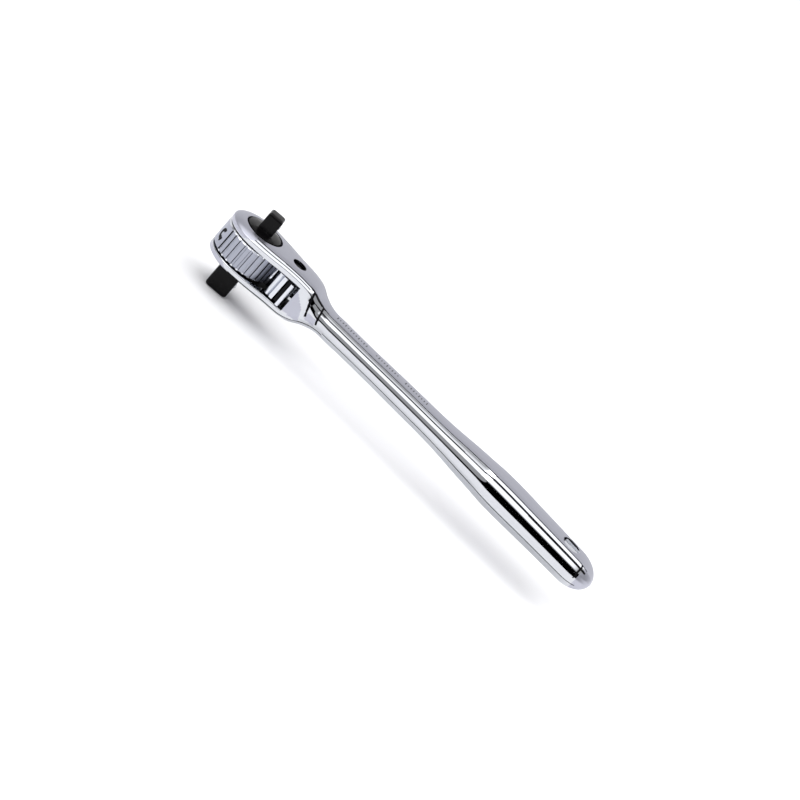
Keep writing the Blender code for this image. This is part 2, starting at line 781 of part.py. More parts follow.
def pawl_half_outline():
    """Half of the pawl seen along Z, from its nose to the middle of its back, at neutral."""
    lobe = []
    for angle in LOBE_ANGLES:
        x, y = polar(LOBE_RADIUS, angle)
        lobe.append((LOBE_CENTRE[0] + x, LOBE_CENTRE[1] + y))
    boss_radius = DETENT_X - DETENT_RADIUS - PIVOT_X - BOSS_GAP
    boss = [BOSS_START]
    for angle, depth in BOSS_POINTS:
        x, y = polar(boss_radius - depth, angle)
        boss.append((PIVOT_X + x, y))
    return [*PAWL_NOSE, *PAWL_NECK, *lobe, *PAWL_BANDS, *PAWL_RIB, *boss]


def build_pawl():
    """The double-ended pawl on its pivot pin, rocked to one side, with the pin."""
    half = pawl_half_outline()
    outline = half + [(x, -y) for x, y in reversed(half) if y > 0.0]
    outline = [(x - PIVOT_X, y) for x, y in outline]
    bore = [polar(PIN_RADIUS + GAP, a) for a in np.arange(0.0, 360.0, 18.0)]
    mesh = outline_mesh("pawl", (outline, bore), MID - PAWL_HALF, MID + PAWL_HALF)
    pawl = new_part("pawl", mesh, STEEL_SATIN)
    pawl.location.x = PIVOT_X * MM
    pawl.rotation_euler.z = math.radians(-PAWL_ROCK)
    reach = HEAD_HALF - GAP
    pin_mesh = cylinder_mesh("pawl_pivot_pin", PIN_RADIUS, MID - reach, MID + reach, segments=24)
    smooth(pin_mesh)
    pin = new_part("pawl_pivot_pin", pin_mesh, STEEL_BLACK)
    pin.location.x = PIVOT_X * MM


def build_detent():
    """The ball that holds the pawl over to one side, and its spring, in the web's blind bore."""
    ball = new_part("detent_ball", ball_mesh("detent_ball", DETENT_RADIUS), STEEL_BEARING)
    put(ball, (DETENT_X, 0.0, MID))
    start = DETENT_X + DETENT_RADIUS + GAP
    length = DETENT_BORE_END - GAP - start
    coil = helix_mesh("detent_spring", *DETENT_COIL, length, DETENT_TURNS)
    spring = new_part("detent_spring", coil, STEEL_SPRING)
    put(spring, (start, 0.0, MID), (1.0, 0.0, 0.0))


clear_scene()
parts = make_collection(COLLECTION)
cutters = make_collection("cutters")
build_forging()
build_spindle()
build_tang_balls()
build_wheel()
build_washers()
build_retaining_ring()
build_ring()
build_pawl()
build_detent()
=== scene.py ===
"""A ratchet wrench with two square tangs: its detailed pieces, finishes, studio and camera.

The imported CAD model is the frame: every piece here is made in its place and rides on one of its bodies.
Shapes are worked out in millimetres along the frame's own axes (Z up the spindle, X along the handle)
and become metres when a mesh is made.
"""

import logging
import math
from dataclasses import dataclass
from enum import Enum

import bmesh
import bpy
import numpy as np
from mathutils import Matrix, Vector


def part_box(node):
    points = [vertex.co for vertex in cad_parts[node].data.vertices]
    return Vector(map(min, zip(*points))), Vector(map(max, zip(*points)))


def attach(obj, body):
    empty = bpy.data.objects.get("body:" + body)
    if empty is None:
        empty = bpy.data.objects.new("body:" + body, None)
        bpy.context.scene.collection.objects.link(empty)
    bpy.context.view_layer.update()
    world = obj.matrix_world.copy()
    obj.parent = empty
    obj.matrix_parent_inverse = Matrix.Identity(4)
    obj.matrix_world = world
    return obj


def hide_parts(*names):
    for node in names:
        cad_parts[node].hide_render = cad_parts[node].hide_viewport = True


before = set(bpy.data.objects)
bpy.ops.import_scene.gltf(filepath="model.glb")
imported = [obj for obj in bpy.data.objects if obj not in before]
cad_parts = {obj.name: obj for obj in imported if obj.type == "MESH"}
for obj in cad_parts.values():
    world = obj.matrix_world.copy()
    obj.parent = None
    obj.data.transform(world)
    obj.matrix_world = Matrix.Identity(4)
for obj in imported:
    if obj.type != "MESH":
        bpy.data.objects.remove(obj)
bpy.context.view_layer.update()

Mesh, Object, Node = bpy.types.Mesh, bpy.types.Object, bpy.types.Node
Tree, Socket = bpy.types.NodeTree, bpy.types.NodeSocket
Array = np.ndarray
Pair = tuple[float, float]
Table = tuple[tuple[float, ...], ...]

MM = 0.001
WELD = 1e-7
CAD_WELD = 1e-6
MERGE_ANGLE = 1.0
BALL_SHADING = 60.0
SATIN = "satin_face"
PAINTED_SHADE = "painted_shade_face"
SIDES = (("left", 1.0), ("right", -1.0))
# A Mix node's sockets by number: its share, its two colours and their mix, its two values and theirs
SHARE, COLOUR_A, COLOUR_B, COLOUR_OUT, VALUE_A, VALUE_B, VALUE_OUT = 0, 6, 7, 2, 2, 3, 0
log = logging.getLogger("ratchet_wrench")


# ------------------------------------------ Meshes ------------------------------------------


def node_box(node: str) -> tuple[Array, Array]:
    """The lowest and highest corners of a CAD node at rest, in millimetres."""
    low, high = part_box(node)
    return np.array(low) / MM, np.array(high) / MM


def levels(node: str) -> Pair:
    """The lowest and highest levels of a CAD node at rest, in millimetres."""
    low, high = node_box(node)
    return float(low[2]), float(high[2])


def smooth_step(value: Array, low: float, high: float) -> Array:
    """Rises from 0 at low to 1 at high as 3 s^2 - 2 s^3.

    Args:
        value: Where to take the step's height.
        low: Where the step starts.
        high: Where the step ends.

    Returns:
        The step's height at each value.
    """
    share = np.clip((value - low) / (high - low), 0.0, 1.0)
    return share * share * (3.0 - 2.0 * share)


def cubic_weights(t: Array) -> tuple[Array, ...]:
    """What a cubic from t = 0 to 1 takes of its start, leaving slope, end and arriving slope.

    The four are 2 t^3 - 3 t^2 + 1, t^3 - 2 t^2 + t, 3 t^2 - 2 t^3 and t^3 - t^2.

    Args:
        t: Places along the cubic.

    Returns:
        The four weights at each place.
    """
    return 2 * t**3 - 3 * t**2 + 1, t**3 - 2 * t**2 + t, 3 * t**2 - 2 * t**3, t**3 - t**2


def polar(radius: Array | float, degrees: Array | float) -> Array:
    """Points in the XY plane at a radius and an angle, as an array whose last axis is (x, y)."""
    angle = np.radians(degrees)
    return np.stack(np.broadcast_arrays(radius * np.cos(angle), radius * np.sin(angle)), axis=-1)


def mirrored(half: Array) -> Array:
    """Closes half outlines, of shape (sections, places, 2), with their mirror images in y."""
    return np.concatenate((half, half[:, -2:0:-1] * (-1.0, 1.0)), axis=1)


def loop_faces(loops: int, places: int) -> Array:
    """Quads between closed loops of points that are stored loop by loop.

    Args:
        loops: How many loops there are.
        places: How many points each loop has.

    Returns:
        An array of quads, one row of four point numbers each.
    """
    loop, place = np.meshgrid(np.arange(loops - 1), np.arange(places), indexing="ij")
    after = (place + 1) % places
    near, far = loop * places, (loop + 1) * places
    return np.stack((near + place, near + after, far + after, far + place), axis=-1).reshape(-1, 4)


def make_mesh(name: str, points: Array, faces: Array | None = None) -> Mesh:
    """A welded mesh from points in millimetres, with open ends filled and its faces turned outwards.

    Args:
        name: The mesh's name.
        points: An array whose last axis is (x, y, z), in millimetres.
        faces: Rows of point numbers, or None where the points are closed loops to join up.

    Returns:
        The new mesh, in metres.
    """
    if faces is None:
        faces = loop_faces(*points.shape[:2])
    mesh = bpy.data.meshes.new(name)
    mesh.from_pydata((points.reshape(-1, 3) * MM).tolist(), [], faces.tolist())
    shape = bmesh.new()
    shape.from_mesh(mesh)
    bmesh.ops.remove_doubles(shape, verts=shape.verts, dist=WELD)
    bmesh.ops.dissolve_degenerate(shape, edges=shape.edges, dist=WELD)
    bmesh.ops.holes_fill(shape, edges=[edge for edge in shape.edges if edge.is_boundary], sides=0)
    bmesh.ops.recalc_face_normals(shape, faces=shape.faces)
    shape.to_mesh(mesh)
    shape.free()
    return mesh


def turned_mesh(name: str, profile: list[Pair] | Array, steps: int) -> Mesh:
    """A solid turned about Z: each profile point (r, z) goes round as (r cos a, r sin a, z).

    Args:
        name: The mesh's name.
        profile: Points (radius, height) from one end of the axis to the other.
        steps: How many points go round.

    Returns:
        The closed mesh.
    """
    outline = np.array(profile, dtype=float)
    ring = polar(outline[:, :1], np.arange(steps) * 360.0 / steps)
    height = np.broadcast_to(outline[:, 1:], ring.shape[:2])
    return make_mesh(name, np.concatenate((ring, height[..., None]), axis=-1))


def cutter_mesh(name: str, profile: list[Pair], steps: int) -> Mesh:
    """A turned tool whose profile goes straight in to the axis at both of its ends."""
    return turned_mesh(name, [(0.0, profile[0][1]), *profile, (0.0, profile[-1][1])], steps)


def ball_mesh(radius: float, centre: tuple, steps: int = 48) -> Mesh:
    """A shaded ball turned from a half circle, (r, z) = (R cos b, R sin b), and placed."""
    turn = np.radians(np.linspace(-90.0, 90.0, steps // 2 + 1))
    profile = np.column_stack((radius * np.cos(turn), radius * np.sin(turn)))
    return shaded(placed(turned_mesh("ball", profile, steps), centre), BALL_SHADING)


def placed(mesh: Mesh, centre: tuple, direction: tuple | None = None) -> Mesh:
    """Moves a mesh to a place in millimetres, after turning its Z axis onto a direction."""
    place = Matrix.Translation(Vector(centre) * MM)
    if direction is not None:
        turn = Vector((0.0, 0.0, 1.0)).rotation_difference(Vector(direction))
        place = place @ turn.to_matrix().to_4x4()
    mesh.transform(place)
    return mesh


def turned_about_z(mesh: Mesh, degrees: float) -> Mesh:
    """Turns a mesh about the Z axis."""
    mesh.transform(Matrix.Rotation(math.radians(degrees), 4, "Z"))
    return mesh


def shaded(mesh: Mesh, angle: float = 35.0) -> Mesh:
    """Shades a mesh smooth, except along edges sharper than an angle in degrees."""
    mesh.shade_smooth()
    mesh.set_sharp_from_angle(angle=math.radians(angle))
    return mesh


def face_centres(mesh: Mesh) -> Array:
    """The centre of each face in millimetres, one row of (x, y, z) for each."""
    centre = np.empty(len(mesh.polygons) * 3)
    mesh.polygons.foreach_get("center", centre)
    return centre.reshape(-1, 3) / MM


def write_marks(mesh: Mesh, marks: dict[str, Array]) -> None:
    """Writes each mask over a mesh's faces as a face attribute, for the finish to read."""
    for name, mask in marks.items():
        values = mesh.attributes.new(name, "FLOAT", "FACE")
        values.data.foreach_set("value", mask.astype(np.float32))


def linked(name: str, data: bpy.types.ID) -> Object:
    """A new object of the scene that shows a mesh, a light or a camera."""
    item = bpy.data.objects.new(name, data)
    bpy.context.scene.collection.objects.link(item)
    return item


def carve(mesh: Mesh, tools: list[Mesh]) -> Mesh:
    """Takes tools that don't touch one another out of a solid.

    Args:
        mesh: The solid.
        tools: Closed meshes to take away.

    Returns:
        A new mesh of what is left.
    """
    joined = bmesh.new()
    for tool in tools:
        joined.from_mesh(tool)
    tool_mesh = bpy.data.meshes.new("cutter")
    joined.to_mesh(tool_mesh)
    joined.free()
    solid, cutter = linked("solid", mesh), linked("cutter", tool_mesh)
    modifier = solid.modifiers.new("carve", "BOOLEAN")
    modifier.operation = "DIFFERENCE"
    modifier.solver = "EXACT"
    modifier.object = cutter
    bpy.context.view_layer.update()
    graph = bpy.context.evaluated_depsgraph_get()
    result = bpy.data.meshes.new_from_object(solid.evaluated_get(graph))
    for item in (solid, cutter):
        bpy.data.objects.remove(item, do_unlink=True)
    return result


def add_piece(
    name: str, mesh: Mesh, body: str, nodes: tuple[str, ...], finish: "Finish"
) -> Object:
    """Links a finished mesh as a piece of the wrench.

    Args:
        name: The piece's name.
        mesh: Its mesh, in place.
        body: The CAD body that it rides on.
        nodes: The CAD nodes that it stands for.
        finish: What it is finished in.

    Returns:
        The new object.
    """
    mesh.name = name
    mesh.materials.clear()
    mesh.materials.append(finish.material(name))
    piece = linked(name, mesh)
    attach(piece, body)
    if nodes:
        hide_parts(*nodes)
    log.info("made %s: %d faces, rides on %s", name, len(mesh.polygons), body)
    return piece


def add_bevel(piece: Object, width: float, segments: int = 2) -> None:
    """Breaks a piece's sharp edges with a small rounding, in millimetres."""
    bevel = piece.modifiers.new("broken_edges", "BEVEL")
    bevel.width = width * MM
    bevel.segments = segments
    bevel.limit_method = "ANGLE"
    bevel.angle_limit = math.radians(25.0)
    bevel.harden_normals = True


def merged_copy(node: str) -> Mesh:
    """A copy of a CAD node's mesh with its triangles merged into whole flat faces."""
    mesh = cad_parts[node].data.copy()
    shape = bmesh.new()
    shape.from_mesh(mesh)
    bmesh.ops.remove_doubles(shape, verts=shape.verts, dist=CAD_WELD)
    flat = math.radians(MERGE_ANGLE)
    bmesh.ops.dissolve_limit(shape, angle_limit=flat, verts=shape.verts, edges=shape.edges)
    shape.to_mesh(mesh)
    shape.free()
    return mesh


# ----------------------------------------- Finishes -----------------------------------------


def linear(colour: str) -> tuple[float, float, float, float]:
    """Turns an sRGB hex colour into the linear values that a shader takes."""
    parts = np.array([int(colour[i : i + 2], 16) for i in (1, 3, 5)]) / 255.0
    bright = np.where(parts <= 0.04045, parts / 12.92, ((parts + 0.055) / 1.055) ** 2.4)
    return (*bright.tolist(), 1.0)


def add_node(tree: Tree, kind: str, settings: dict | None = None) -> Node:
    """Adds one node with its settings and links.

    Args:
        tree: The node tree.
        kind: The node's type name, without its ShaderNode prefix.
        settings: The node's properties by name, and its inputs by name or number, each with a value
            or with the socket to link to it.

    Returns:
        The new node.
    """
    node = tree.nodes.new(f"ShaderNode{kind}")
    for key, value in (settings or {}).items():
        if isinstance(value, Socket):
            tree.links.new(value, node.inputs[key])
        elif isinstance(key, str) and hasattr(node, key):
            setattr(node, key, value)
        else:
            node.inputs[key].default_value = value
    return node


class Grain(Enum):
    """How the surface was worked: the stretch of its fine scratches along X, Y and Z."""

    TUMBLED = (1.0, 1.0, 1.0)
    LENGTHWISE = (0.06, 1.0, 1.0)
    UPRIGHT = (1.0, 1.0, 0.08)
    TURNED = (0.1, 0.1, 1.0)


@dataclass(frozen=True)
class Finish:
    """A worked metal surface: its colour, gloss, fine scratches and handling marks.

    The scratches' spacing and the marks' size are in millimetres; a noise of scale 1 / size gives
    them. The mesh's painted-shade face attribute is 1 where shade is painted on in a near-black colour,
    in slots, bores, recesses and creases. With a satin colour the finish is in two tones: satin and
    scratched where the attribute SATIN is 1, and buffed bright elsewhere.
    """

    name: str
    colour: str
    dark_colour: str
    roughness: float
    roughness_spread: float
    mark_size: float
    grain: Grain = Grain.TUMBLED
    scratch_spacing: float = 0.2
    scratch_depth: float = 0.004
    metallic: float = 1.0
    specular: float = 0.5
    # Painted shade: its near-black colour, and its gloss where the finish is in two tones
    painted_shade_colour: str = "#19191b"
    painted_shade_roughness: float = 0.45
    satin_colour: str = ""
    satin_roughness: float = 0.34
    least_roughness: float = 0.02

    def material(self, piece: str) -> bpy.types.Material:
        """Makes the finish's material for one piece.

        Args:
            piece: The piece's name, which the material's name ends with.

        Returns:
            The new material.
        """
        material = bpy.data.materials.new(f"{self.name}_{piece}")
        material.use_nodes = True
        tree = material.node_tree
        tree.nodes.clear()
        place = add_node(tree, "TexCoord").outputs["Object"]
        patterns = []
        for size, grain, detail in (
            (self.mark_size, Grain.TUMBLED, 4.0),
            (self.scratch_spacing, self.grain, 2.0),
        ):
            vector = add_node(tree, "Mapping", {"Scale": grain.value, "Vector": place}).outputs[0]
            settings = {"Scale": 1.0 / (size * MM), "Detail": detail, "Vector": vector}
            patterns.append(add_node(tree, "TexNoise", settings).outputs["Fac"])
        colour, rough, height = self.layers(tree, *patterns)
        depth = self.scratch_depth * MM
        bump = add_node(tree, "Bump", {"Strength": 1.0, "Distance": depth, "Height": height})
        metal = {"Metallic": self.metallic, "Specular IOR Level": self.specular}
        surface = {"Base Color": colour, "Roughness": rough, "Normal": bump.outputs[0]}
        shader = add_node(tree, "BsdfPrincipled", {**metal, **surface})
        add_node(tree, "OutputMaterial", {"Surface": shader.outputs["BSDF"]})
        return material

    def layers(self, tree: Tree, marks: Socket, scratches: Socket) -> tuple[Socket, ...]:
        """The finish's colour, roughness and height, mixed by the marks and the mesh's attributes.

        Args:
            tree: The node tree.
            marks: The socket of the handling marks' pattern.
            scratches: The socket of the scratches' pattern.

        Returns:
            The sockets of the colour, the roughness and the bump's height.
        """
        colours, spans = [(marks, self.dark_colour)], [(self.roughness, self.roughness_spread)]
        # The painted shade's colour goes on last, over the handling marks and the satin
        painted_shade = add_node(tree, "Attribute", {"attribute_name": PAINTED_SHADE}).outputs["Fac"]
        if self.satin_colour:
            satin = add_node(tree, "Attribute", {"attribute_name": SATIN}).outputs["Fac"]
            colours.append((satin, self.satin_colour))
            spans.append((self.satin_roughness, 2.0 * self.roughness_spread))
        colour = linear(self.colour)
        for share, over in (*colours, (painted_shade, self.painted_shade_colour)):
            pair = {COLOUR_A: colour, COLOUR_B: linear(over)}
            mix = add_node(tree, "Mix", {"data_type": "RGBA", SHARE: share, **pair})
            colour = mix.outputs[COLOUR_OUT]
        rough = []
        for middle, spread in spans:
            least = max(middle - spread, self.least_roughness)
            span = {"Value": marks, "To Min": least, "To Max": middle + spread}
            rough.append(add_node(tree, "MapRange", span).outputs[0])
        if not self.satin_colour:
            return colour, rough[0], scratches
        plated = rough[0]
        for share, over in ((satin, rough[1]), (painted_shade, self.painted_shade_roughness)):
            pair = {VALUE_A: plated, VALUE_B: over}
            mix = add_node(tree, "Mix", {"data_type": "FLOAT", SHARE: share, **pair})
            plated = mix.outputs[VALUE_OUT]
        height = add_node(tree, "Math", {"operation": "MULTIPLY", 0: scratches, 1: satin})
        return colour, plated, height.outputs[0]


# Chrome plate on a forged, ground and buffed alloy steel: bright mirror sides, dull broad faces
FORGED_CHROME = Finish(
    "buffed_chrome_plate", "#cfd1d5", "#c3c5ca", roughness=0.05, roughness_spread=0.02,
    mark_size=9.0, grain=Grain.LENGTHWISE, scratch_spacing=0.25, satin_colour="#b3b4bf",
)
# Chrome on the machined pawl: bright and a little soft, with fine upright grinding lines
SATIN_CHROME = Finish(
    "satin_chrome_plate", "#dcdee4", "#c6c9d1", roughness=0.16, roughness_spread=0.05,
    mark_size=5.0, grain=Grain.UPRIGHT,
)
# Satin chrome on the machined ring: soft grey flutes and lands, with buffed chamfers
RING_CHROME = Finish(
    "satin_chrome_ring", "#e3e5ea", "#d4d6dc", roughness=0.12, roughness_spread=0.03,
    mark_size=5.0, grain=Grain.UPRIGHT, satin_colour="#a6a9b5", satin_roughness=0.42,
)
# Hot black oxide on machined steel: near black with an oily sheen and a trace of brown
BLACK_OXIDE = Finish(
    "black_oxide_steel", "#050506", "#0b0a0b", roughness=0.2, roughness_spread=0.05,
    mark_size=3.0, grain=Grain.TURNED, scratch_spacing=0.25, metallic=0.0, specular=0.12,
)
# Spring steel, rolled and stamped: a darker grey with a fine grain
SPRING_STEEL = Finish(
    "spring_steel", "#8f9196", "#74767c", roughness=0.28, roughness_spread=0.06,
    mark_size=2.0, grain=Grain.TURNED, scratch_spacing=0.15, scratch_depth=0.003,
)
# Hardened and polished ball bearing steel: a near mirror with faint swirl
BEARING_STEEL = Finish(
    "bearing_steel", "#d9dadc", "#c6c8cc", roughness=0.1, roughness_spread=0.03,
    mark_size=1.0, scratch_depth=0.001,
)
# Stamped before plating: the strokes' shadowed floors read as a dull dark grey
STAMPED_TICK = Finish(
    "stamped_chrome", "#4a4b51", "#3a3b41", roughness=0.5, roughness_spread=0.08, mark_size=1.5
)
# Etched and blackened mark: matt black in the chrome
MARK_BLACK = Finish(
    "etched_black_mark", "#0d0d0f", "#17171a", roughness=0.6, roughness_spread=0.1,
    mark_size=0.8, scratch_spacing=0.15, metallic=0.0, specular=0.1,
)


# ------------------------------------------ Handle ------------------------------------------


@dataclass
class Forging:
    """The one-piece head and handle, as a surface of sections carried along X.

    A section is a cubic through nine points of a quarter outline, given as shares of the half sizes
    from the top centre round to the side, with creases at three of them.
    """

    slot_half: float = 5.75
    slot_end: float = 25.2
    slot_edge: float = 0.35
    neck_end: float = 44.0
    tail_start: float = 167.2
    tail_end: float = 177.37
    shape_change: Pair = (24.0, 39.0)
    grip_change: Pair = (119.0, 127.0)
    # How many sections the nose, the head, the neck, the shank with the grip, and the tail have
    sections: tuple[int, ...] = (31, 43, 120, 110, 60)
    # Distance from the spindle, half width, half thickness, and how far the centreline drops
    stations: Table = (
        (0.0, 13.0, 9.3, 0.0), (8.0, 12.1, 9.3, 0.0), (18.0, 9.5, 9.3, 0.0), (25.0, 8.6, 9.1, 0.0),
        (29.5, 7.9, 8.3, 0.0), (33.5, 7.0, 6.3, 0.0), (38.0, 6.2, 4.95, 0.0), (46.0, 6.0, 4.7, 0.0),
        (80.0, 6.2, 4.8, 0.0), (100.0, 6.7, 5.05, 0.1), (115.0, 7.8, 5.95, 0.25),
        (130.0, 8.6, 6.5, 0.5), (147.0, 8.3, 6.25, 0.9), (167.2, 7.8, 5.95, 1.5),
        (177.4, 7.6, 5.8, 1.8),
    )
    head_quarter: Table = (
        (0.0, 1.0), (0.3, 0.997), (0.56, 0.985), (0.77, 0.955), (0.9, 0.9), (1.0, 0.825),
        (1.0, 0.55), (1.0, 0.27), (1.0, 0.0),
    )
    shank_quarter: Table = (
        (0.0, 1.0), (0.22, 0.997), (0.42, 0.985), (0.6, 0.96), (0.665, 0.82), (0.74, 0.67),
        (0.885, 0.46), (0.97, 0.24), (1.0, 0.0),
    )
    grip_quarter: Table = (
        (0.0, 1.0), (0.23, 0.997), (0.45, 0.985), (0.64, 0.96), (0.705, 0.86), (0.775, 0.75),
        (0.922, 0.47), (0.962, 0.235), (1.0, 0.0),
    )
    creases: tuple[int, int] = (3, 5)
    side_crease: int = 6
    easings: int = 3
    # Where the outline has its points: how the crown ends, close to a crease, between the creases,
    # from the lower crease to the slot's edge, and from there to the side
    crown_end: float = 0.8
    near_crease: tuple[float, ...] = (0.13, 0.28, 0.45)
    between_creases: tuple[float, ...] = (0.62, 0.85, 1.15, 1.38)
    edge_shares: tuple[float, ...] = (0.07, 0.16, 0.28, 0.42, 0.56, 0.7, 0.82, 0.92, 1.0)
    side_shares: tuple[float, ...] = (0.11, 0.15, 0.19, 0.24, 0.36, 0.48, 0.6, 0.73, 0.86, 1.0)
    # Each facet: where its edge is at mid height, its slope, its depth and its length
    facets: Table = ((32.2, 0.34, 0.45, 4.4), (37.2, 0.3, 0.3, 5.5), (170.6, 0.1, 0.15, 4.0))
    facet_step: float = 0.45
    # Facets fade in over these shares of the half width and these heights over the centre
    facet_width: Pair = (0.7, 0.86)
    facet_rise: Pair = (-3.4, -1.6)
    # Bore profiles as (radius, height) points, with each height over the edge that the bore meets
    upper_bore: Table = ((7.85, -0.55), (8.35, -0.05), (8.35, 3.0))
    lower_bore: Table = ((9.0, -3.0), (9.0, 0.25), (8.6, 0.65), (8.6, 1.9), (7.0, 1.9))
    bore_end: float = 1.0
    pin_x: float = 18.1
    pin_bore: Table = ((3.05, 2.0), (3.05, -0.1), (2.8, -0.35))
    hang_x: float = 162.4
    hang_drop: float = 1.36
    hang_bore: Table = ((4.0, 9.0), (4.0, 5.95), (3.7, 5.75), (3.4, 5.35))
    detent_x: float = 23.2
    detent_bore: Table = ((0.0, 0.0), (1.8, 0.0), (1.8, 8.8), (0.0, 9.8))
    tick_groups: Table = ((42.0, 58.0), (62.0, 73.0), (77.0, 88.5))
    tick_pitch: float = 1.35
    tick_width: float = 0.4
    tick_length: float = 2.0
    tick_rise: float = 0.012
    tick_depth: float = 0.1
    # The painted shade line along each crease: its radius, where it runs, and how it swells on the neck
    line_radius: float = 0.22
    line_ends: Pair = (1.5, 173.2)
    neck_swell: tuple[float, float, float] = (0.45, 32.5, 3.5)
    head_swell: Pair = (0.08, 30.0)
    grip_swell: float = 0.2
    line_changes: Pair = (28.0, 42.0)
    # Satin areas: the nose's slanting end, the tail, the web behind the slot and the neck's pad
    nose_end: float = -3.0
    nose_taper: float = 6.0
    tail_satin: float = 171.8
    web_end: float = 30.4
    web_top: Pair = (4.6, 0.9)
    web_half: float = 5.4
    pad_length: Pair = (33.2, 37.4)
    pad_rise: Pair = (-2.6, 0.4)
    # Painted shade: the slot inside the rim's width, the facets' walls and the bores
    rim_width: float = 4.0
    wall_low: float = -1.4
    wall_side: float = 0.8
    bore_reach: Pair = (8.4, 9.0)
    pin_reach: float = 3.0
    hang_reach: float = 3.7
    margin: float = 0.02

    def __post_init__(self) -> None:
        """Takes the head's levels from the frame."""
        self.low, self.high = levels("handle_forging")
        self.middle = (self.low + self.high) / 2

    def station_values(self, x: Array) -> Array:
        """Half width, half thickness and drop along the handle.

        Between two stations they are the cubic through the stations' values, with each one's slope
        the mean of the slopes on its two sides.

        Args:
            x: Distances from the spindle.

        Returns:
            An array of one row of three values for each distance.
        """
        table = np.array(self.stations)
        places = table[:, 0]
        slopes = np.gradient(table[:, 1:], places, axis=0)
        slopes[0] = 0.0
        i = np.clip(np.searchsorted(places, x) - 1, 0, len(places) - 2)
        width = (places[i + 1] - places[i])[:, None]
        start, leaving, end, arriving = cubic_weights((x - places[i])[:, None] / width)
        return (
            start * table[i, 1:]
            + leaving * width * slopes[i]
            + end * table[i + 1, 1:]
            + arriving * width * slopes[i + 1]
        )

    def quarter_points(self, x: Array) -> tuple[Array, Array]:
        """The nine outline points of each section, and how far its centre drops.

        The head's shares turn into the shank's and those into the grip's by smooth steps, and past
        the tail's start both half sizes shrink as sqrt(1 - s^2).

        Args:
            x: Distances from the spindle.

        Returns:
            Points (y, z) of shape (sections, 9, 2), and the drops.
        """
        sizes = self.station_values(x)
        change = smooth_step(x, *self.shape_change)[:, None, None]
        grip = smooth_step(x, *self.grip_change)[:, None, None]
        handle = np.array(self.shank_quarter) * (1.0 - grip) + np.array(self.grip_quarter) * grip
        shares = np.array(self.head_quarter) * (1.0 - change) + handle * change
        reach = np.clip((x - self.tail_start) / (self.tail_end - self.tail_start), 0.0, 1.0)
        half = sizes[:, :2] * np.sqrt(1.0 - reach**2)[:, None]
        return shares * half[:, None, :], sizes[:, 2]

    def outline(self, knots: Array, t: Array) -> Array:
        """Points on each section's outline: a cubic through the nine points, sharp at the creases.

        Args:
            knots: The outline points, of shape (sections, 9, 2).
            t: Places along each outline, 0 at the top centre and 8 at the side, (sections, places).

        Returns:
            Points (y, z) of shape (sections, places, 2).
        """
        step = np.diff(knots, axis=1)
        between = (step[:, 1:] + step[:, :-1]) / 2
        leaving = np.concatenate((step[:, :1], between, step[:, -1:]), axis=1)
        leaving[:, 0, 1] = 0.0
        arriving = leaving.copy()
        arriving[:, -1, 0] = 0.0
        for crease in (*self.creases, self.side_crease):
            arriving[:, crease] = step[:, crease - 1]
            leaving[:, crease] = step[:, crease]
        i = np.clip(t.astype(int), 0, knots.shape[1] - 2)[..., None]
        terms = ((knots, i), (leaving, i), (knots, i + 1), (arriving, i + 1))
        first, *others = (
            weight * np.take_along_axis(values, place, axis=1)
            for weight, (values, place) in zip(cubic_weights(t[..., None] - i), terms)
        )
        return first + others[0] + others[1] + others[2]

    def columns(self) -> Array:
        """Places round the outline from the top centre to the lower crease, close beside creases."""
        first, second = self.creases
        near = np.array(self.near_crease)
        crown = np.linspace(0.0, first - self.crown_end, 7)
        between = first + np.array(self.between_creases)
        beside = (first - near[::-1], (first,), first + near, between, second - near[::-1], (second,))
        return np.concatenate((crown, *beside))

    def slot_place(self, x: Array) -> Array:
        """The place on each outline where the slot's rounded edge starts."""
        places = np.linspace(self.creases[1], 8.0, 200)
        heights = self.outline(np.array(self.head_quarter)[None], places[None])[0, :, 1]
        level = (self.slot_half + self.slot_edge) / self.station_values(x)[:, 1]
        return np.interp(-level, -heights, places)

    def ease_creases(self, points: Array, columns: int) -> Array:
        """Rounds the two upper creases: near them each point becomes (before + 2 own + after) / 4.

        Args:
            points: Points (y, z) of each outline.
            columns: How many points reach down to the lower crease.

        Returns:
            The points, eased a few times over.
        """
        crown_end = int(np.argmin(np.abs(self.columns() - self.creases[0])))
        for _ in range(self.easings):
            eased = (points[:, :-2] + 2.0 * points[:, 1:-1] + points[:, 2:]) / 4
            for crease in (crown_end, columns - 1):
                points[:, crease - 1 : crease + 2] = eased[:, crease - 2 : crease + 1]
        return points

    def upper_half(self, x: Array, slot_place: Array) -> Array:
        """The outline from the top centre down to the slot's edge.

        Args:
            x: Distances from the spindle.
            slot_place: Where each outline meets the slot's edge.

        Returns:
            Points (y, z) of shape (sections, places, 2).
        """
        knots, _ = self.quarter_points(x)
        top = np.broadcast_to(self.columns(), (len(x), len(self.columns())))
        crease = self.creases[1]
        side = crease + (slot_place[:, None] - crease) * np.array(self.edge_shares)
        points = self.outline(knots, np.concatenate((top, side), axis=1))
        return self.ease_creases(points, top.shape[1])

